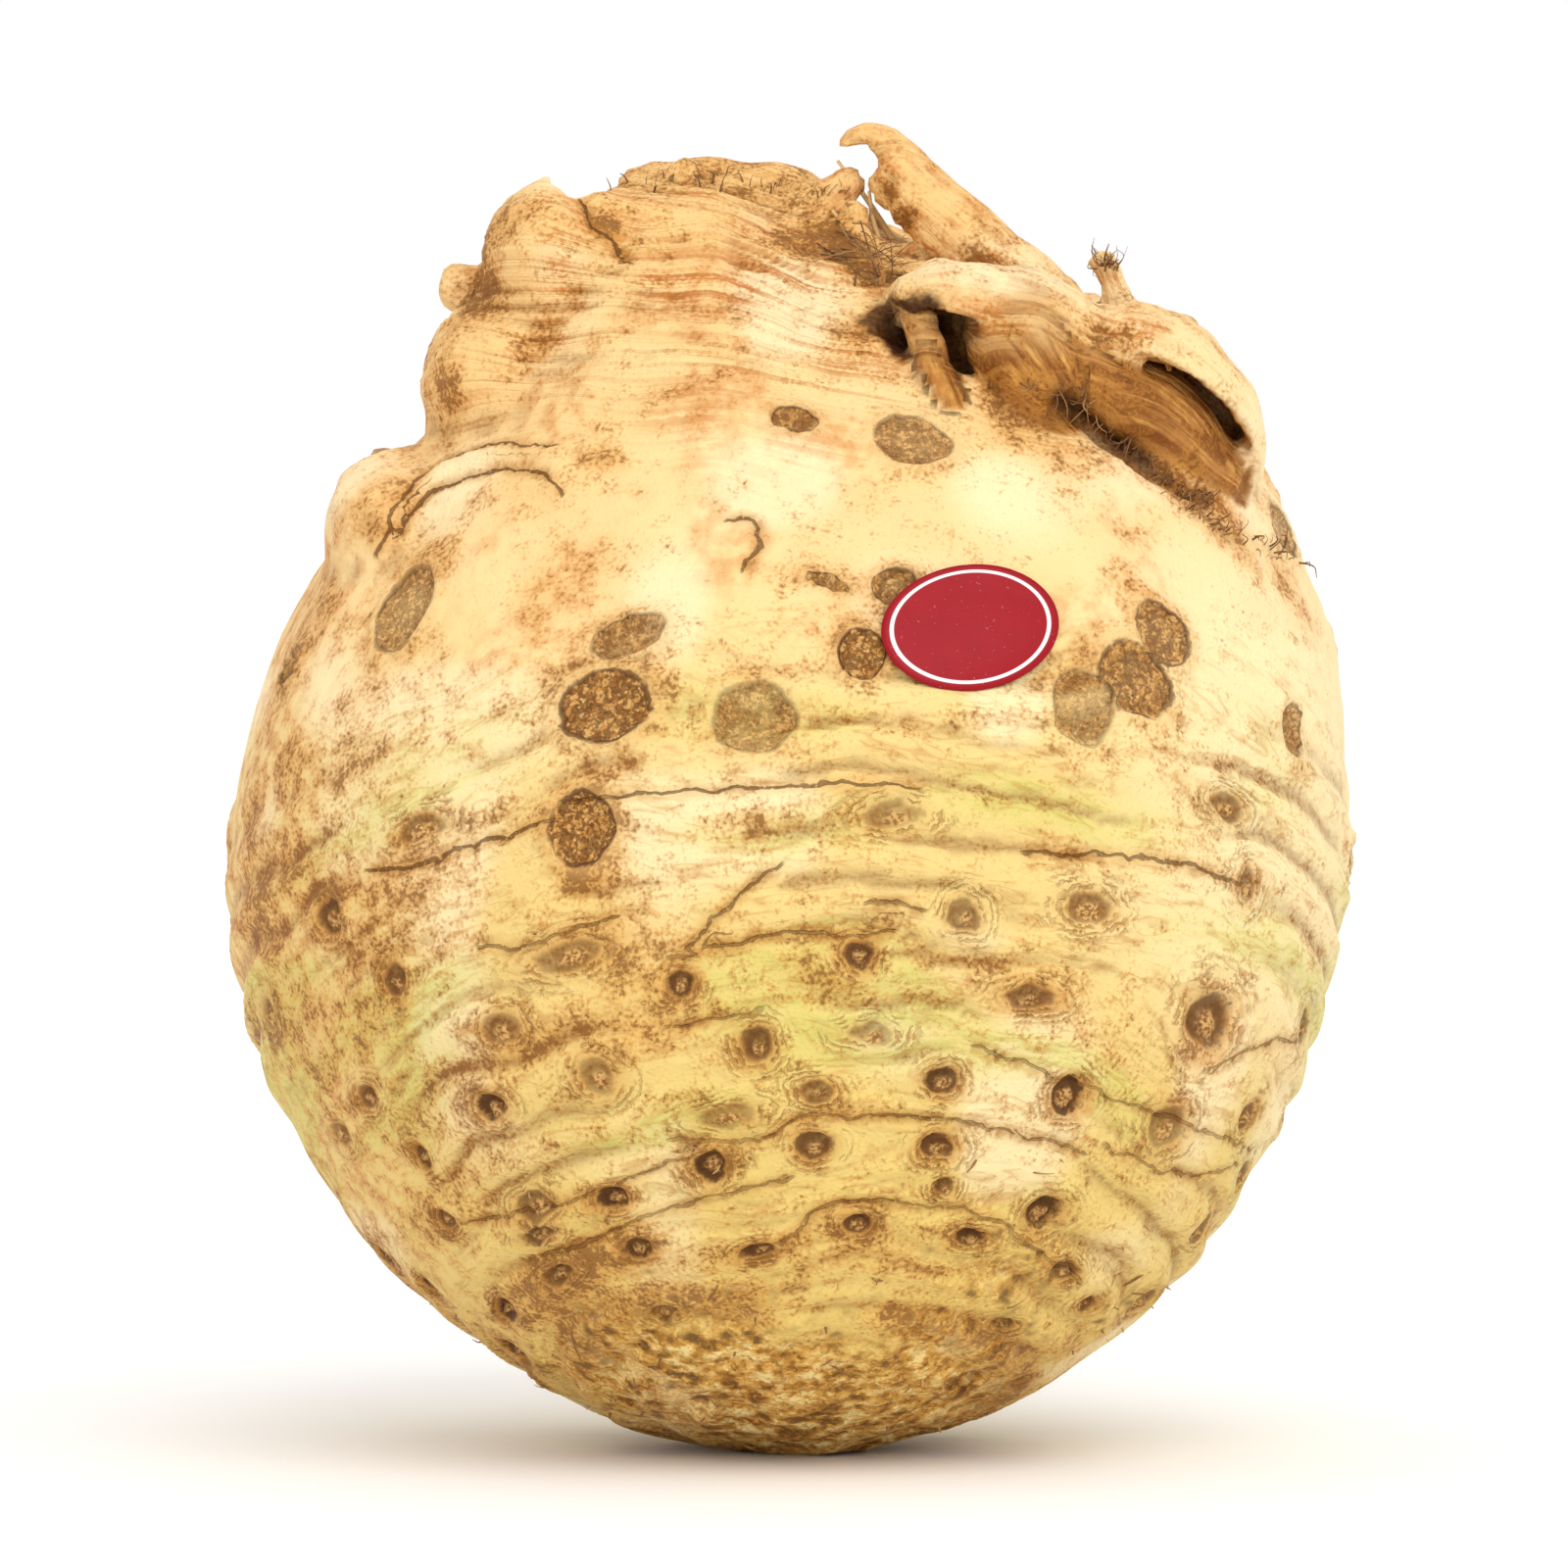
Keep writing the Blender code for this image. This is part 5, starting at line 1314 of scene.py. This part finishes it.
def strands(name, paths, radii, tones):
    """One mesh of thin tapering tubes, each along its own curve."""
    points, faces = [], []
    for path, radius in zip(paths, radii):
        places, tangents, taper = spine_stations(path, np.linspace(1, STRAND_TIP, len(path)) * radius,
                                                 STRAND_STATIONS)
        ring = places[:, None] + ring_offsets(tangents, STRAND_SIDES) * taper[:, None, None]
        first = len(points)
        points.extend(ring.reshape(-1, 3))
        for r in range(STRAND_STATIONS - 1):
            a, b = first + r * STRAND_SIDES, first + (r + 1) * STRAND_SIDES
            for s in range(STRAND_SIDES):
                e = (s + 1) % STRAND_SIDES
                faces.append((a + s, b + s, b + e, a + e))
        faces.append(tuple(range(first, first + STRAND_SIDES)))
        faces.append(tuple(range(len(points) - STRAND_SIDES, len(points)))[::-1])
    made = new_object(name, points, faces)
    face_outwards(made)
    paint(made, "strand_tone", np.repeat(tones, STRAND_STATIONS * STRAND_SIDES))
    made.data.shade_smooth()
    made.data.materials.append(fibre_material())
    return made


def hollow_tangle(draw):
    """Dry fibres that cross the gap between the crown's front rim and the horn."""
    paths = []
    for _ in range(TANGLE_FIBRES):
        start = np.array([draw.uniform(*span) for span in TANGLE_STARTS])
        end = np.array([draw.uniform(*span) for span in TANGLE_ENDS])
        sag = draw.normal(0, TANGLE_SAG, 3)
        wave = draw.normal(0, TANGLE_WAVE, 3)
        paths.append([start, start * 0.67 + end * 0.33 + sag, start * 0.33 + end * 0.67 + sag + wave, end])
    return paths


def fringe(draw, tree, line, count, length, lean):
    """Short fibres that stand from the skin along a line seen from EYE, leaning the way given."""
    line = np.array(line, float)
    paths = []
    for _ in range(count):
        at = draw.uniform(0, len(line) - 1)
        i = min(int(at), len(line) - 2)
        x, z = line[i] + (at - i) * (line[i + 1] - line[i]) + draw.normal(0, 0.5, 2)
        place, normal = seen_point(tree, x, z)
        if place is None:
            continue
        reach = length * draw.uniform(0.4, 1.0)
        heading = unit(np.array(lean) + draw.normal(0, 0.45, 3))
        middle = place + heading * reach * 0.5 + normal * reach * draw.uniform(0.1, 0.35)
        paths.append([place - normal * 0.4, middle, place + heading * reach + draw.normal(0, 0.3, 3)])
    return paths


def crown_fibres(tree):
    """Every dry strand of the crown: the tangle, the fringes and the loose leaf strips."""
    draw = np.random.default_rng(FIBRE_SEED)
    paths = hollow_tangle(draw)
    for row in FRINGES:
        paths += fringe(draw, tree, *row)
    radii = list(draw.uniform(*FIBRE_RADII, len(paths)))
    tones = list(0.6 * draw.random(len(paths)))
    paths += LOOSE_STRANDS
    radii += [LOOSE_RADIUS] * len(LOOSE_STRANDS)
    tones += [1.0] * len(LOOSE_STRANDS)
    return strands("crown_fibres", paths, radii, tones)


def rootlet_ends(tree):
    """Cut ends of the fine roots round the root pole, and a few that lie along the skin."""
    draw = np.random.default_rng(ROOTLET_SEED)
    first, last = ROOTLETS_FROM_POLE
    paths = []
    for number in range(ROOTLETS):
        from_pole = first + (last - first) * draw.random() ** 0.8
        place, normal = skin_from_inside(tree, from_pole, number * GOLDEN_TURN)
        if place[2] < CLEAR_OF_FLOOR:
            continue
        lying = draw.random() < LYING_SHARE
        heading = unit(np.cross(normal, draw.normal(0, 1, 3)))
        reach = draw.uniform(*LYING_LENGTHS) if lying else draw.uniform(*STANDING_LENGTHS)
        lift = LYING_HEIGHT if lying else reach
        over = place + normal * lift
        paths.append([place - normal * 0.3, over + heading * reach * 0.5, over + heading * reach])
    radii = draw.uniform(*ROOTLET_RADII, len(paths))
    return strands("rootlet_ends", paths, radii, 0.3 + 0.6 * draw.random(len(paths)))


def oval_grid():
    """Points over a unit oval, its middle first and then ring by ring, and the faces between them."""
    turns = np.linspace(0, 2 * math.pi, STICKER_SIDES, endpoint=False)
    rings = np.linspace(0, 1, STICKER_RINGS + 1)[1:]
    a = np.concatenate([[0], np.outer(rings, np.cos(turns)).ravel()])
    b = np.concatenate([[0], np.outer(rings, np.sin(turns)).ravel()])
    faces = [(0, 1 + s, 1 + (s + 1) % STICKER_SIDES) for s in range(STICKER_SIDES)]
    for first in range(1, len(a) - STICKER_SIDES, STICKER_SIDES):
        second = first + STICKER_SIDES
        for s in range(STICKER_SIDES):
            e = (s + 1) % STICKER_SIDES
            faces.append((first + s, second + s, second + e, first + e))
    return a, b, faces


def resting_height(a, b, height):
    """The skin's broad curve, from its heights under the sticker, lifted to clear its grain."""
    terms = np.stack([np.ones_like(a), a, b, a * a, a * b, b * b, a**3, a * a * b, a * b * b, b**3], 1)
    curve = terms @ np.linalg.lstsq(terms, height, rcond=None)[0]
    curve += (height - curve).max() * STICKER_RISE + STICKER_LIFT
    return np.maximum(curve, height + STICKER_LIFT)


def oval_sticker(tree):
    """The sticker: a thin sheet that lies on the skin, with its place in the oval for the shader."""
    place, normal = seen_point(tree, *STICKER_PLACE)
    level = unit(np.cross((0.0, 0.0, 1.0), normal))
    turn = math.radians(STICKER_TILT)
    u = math.cos(turn) * level + math.sin(turn) * np.cross(normal, level)
    v = np.cross(normal, u)
    a, b, sheet = oval_grid()
    flat = place + np.outer(a * STICKER_WIDTH / 2, u) + np.outer(b * STICKER_HEIGHT / 2, v)
    down = Vector(-normal)
    drops = [tree.ray_cast(Vector(point + normal * STICKER_SEARCH), down)[3] for point in flat]
    under = flat + np.outer(resting_height(a, b, STICKER_SEARCH - np.array(drops)), normal)
    over = under + STICKER_THICKNESS * normal
    count = len(flat)
    edge = [(count - STICKER_SIDES + s, count - STICKER_SIDES + (s + 1) % STICKER_SIDES)
            for s in range(STICKER_SIDES)]
    wall = [(here, here + count, after + count, after) for here, after in edge]
    faces = [tuple(i + count for i in face) for face in sheet] + [face[::-1] for face in sheet] + wall
    sticker = new_object("oval_sticker", np.concatenate([under, over]), faces)
    face_outwards(sticker)
    paint(sticker, "oval", np.tile(np.stack([a, b, np.zeros_like(a)], 1), (2, 1)))
    sticker.data.shade_smooth()
    sticker.data.materials.append(sticker_material())
    return sticker


def sticker_material():
    g = Graph("red_sticker")
    a, b, _ = g.parts(g.attribute("oval", "Vector"))
    across = g.math("SQRT", g.add(g.times(a, a), g.times(b, b)))
    line = g.times(g.step(across, 0.855, 0.87), g.step(across, 0.915, 0.90))
    mottle = g.noise(3.0, detail=3)
    colour = g.mix(line, g.mix(mottle, *STICKER_RED), STICKER_LINE)
    speck = g.step(g.noise(0.35, detail=1), 0.72, 0.76)
    colour = g.mix(g.times(speck, 0.15), colour, STICKER_SPECK)
    return g.finish(colour, 0.4, g.times(mottle, 0.1), shine=0.2)


def floor():
    reach = FLOOR_REACH
    corners = [(-reach, -reach, 0), (reach, -reach, 0), (reach, reach, 0), (-reach, reach, 0)]
    sheet = new_object("floor", corners, [(0, 1, 2, 3)])
    g = Graph("pale_floor")
    colour = g.mix(g.noise(60), *FLOOR_WHITE)
    sheet.data.materials.append(g.finish(colour, 0.9, g.times(g.noise(4), 0.02)))


def soft_light(name, from_direction, strength, spread):
    """Even light from one side. spread is in degrees: the wider, the softer its shadows."""
    light = bpy.data.lights.new(name, "SUN")
    light.angle = math.radians(spread)
    light.energy = strength
    made = bpy.data.objects.new(name, light)
    bpy.context.scene.collection.objects.link(made)
    made.rotation_mode = "QUATERNION"
    made.rotation_quaternion = Vector(from_direction).to_track_quat("Z", "Y")


def studio():
    """A white world with the soft lights, and plain colours."""
    world = bpy.data.worlds.new("white_room")
    bpy.context.scene.world = world
    world.use_nodes = True
    background = world.node_tree.nodes["Background"]
    background.inputs["Color"].default_value = (1.0, 1.0, 1.0, 1.0)
    background.inputs["Strength"].default_value = 1.0
    for light in LIGHTS:
        soft_light(*light)
    scene = bpy.context.scene
    scene.view_settings.view_transform = "Standard"
    scene.view_settings.look = "None"


def camera():
    data = bpy.data.cameras.new("camera")
    data.sensor_width = 36
    distance = np.linalg.norm(EYE - AIM)
    data.lens = data.sensor_width * distance / SEEN_HEIGHT
    data.clip_start = 0.05
    data.clip_end = 60
    made = bpy.data.objects.new("camera", data)
    bpy.context.scene.collection.objects.link(made)
    made.location = Vector(EYE) * MM
    made.rotation_mode = "QUATERNION"
    made.rotation_quaternion = Vector(AIM - EYE).to_track_quat("-Z", "Y")
    bpy.context.scene.camera = made


def main():
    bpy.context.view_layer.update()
    root = grown_root()
    root.data.materials.append(skin_material())
    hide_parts("celeriac_root")
    tree = surface_tree(root)
    pieces = [root, crown_fibres(tree), rootlet_ends(tree)]
    sticker = oval_sticker(tree)
    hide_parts("produce_sticker")
    for piece in [*pieces, sticker]:
        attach(piece, "root")
    floor()
    studio()
    camera()


main()
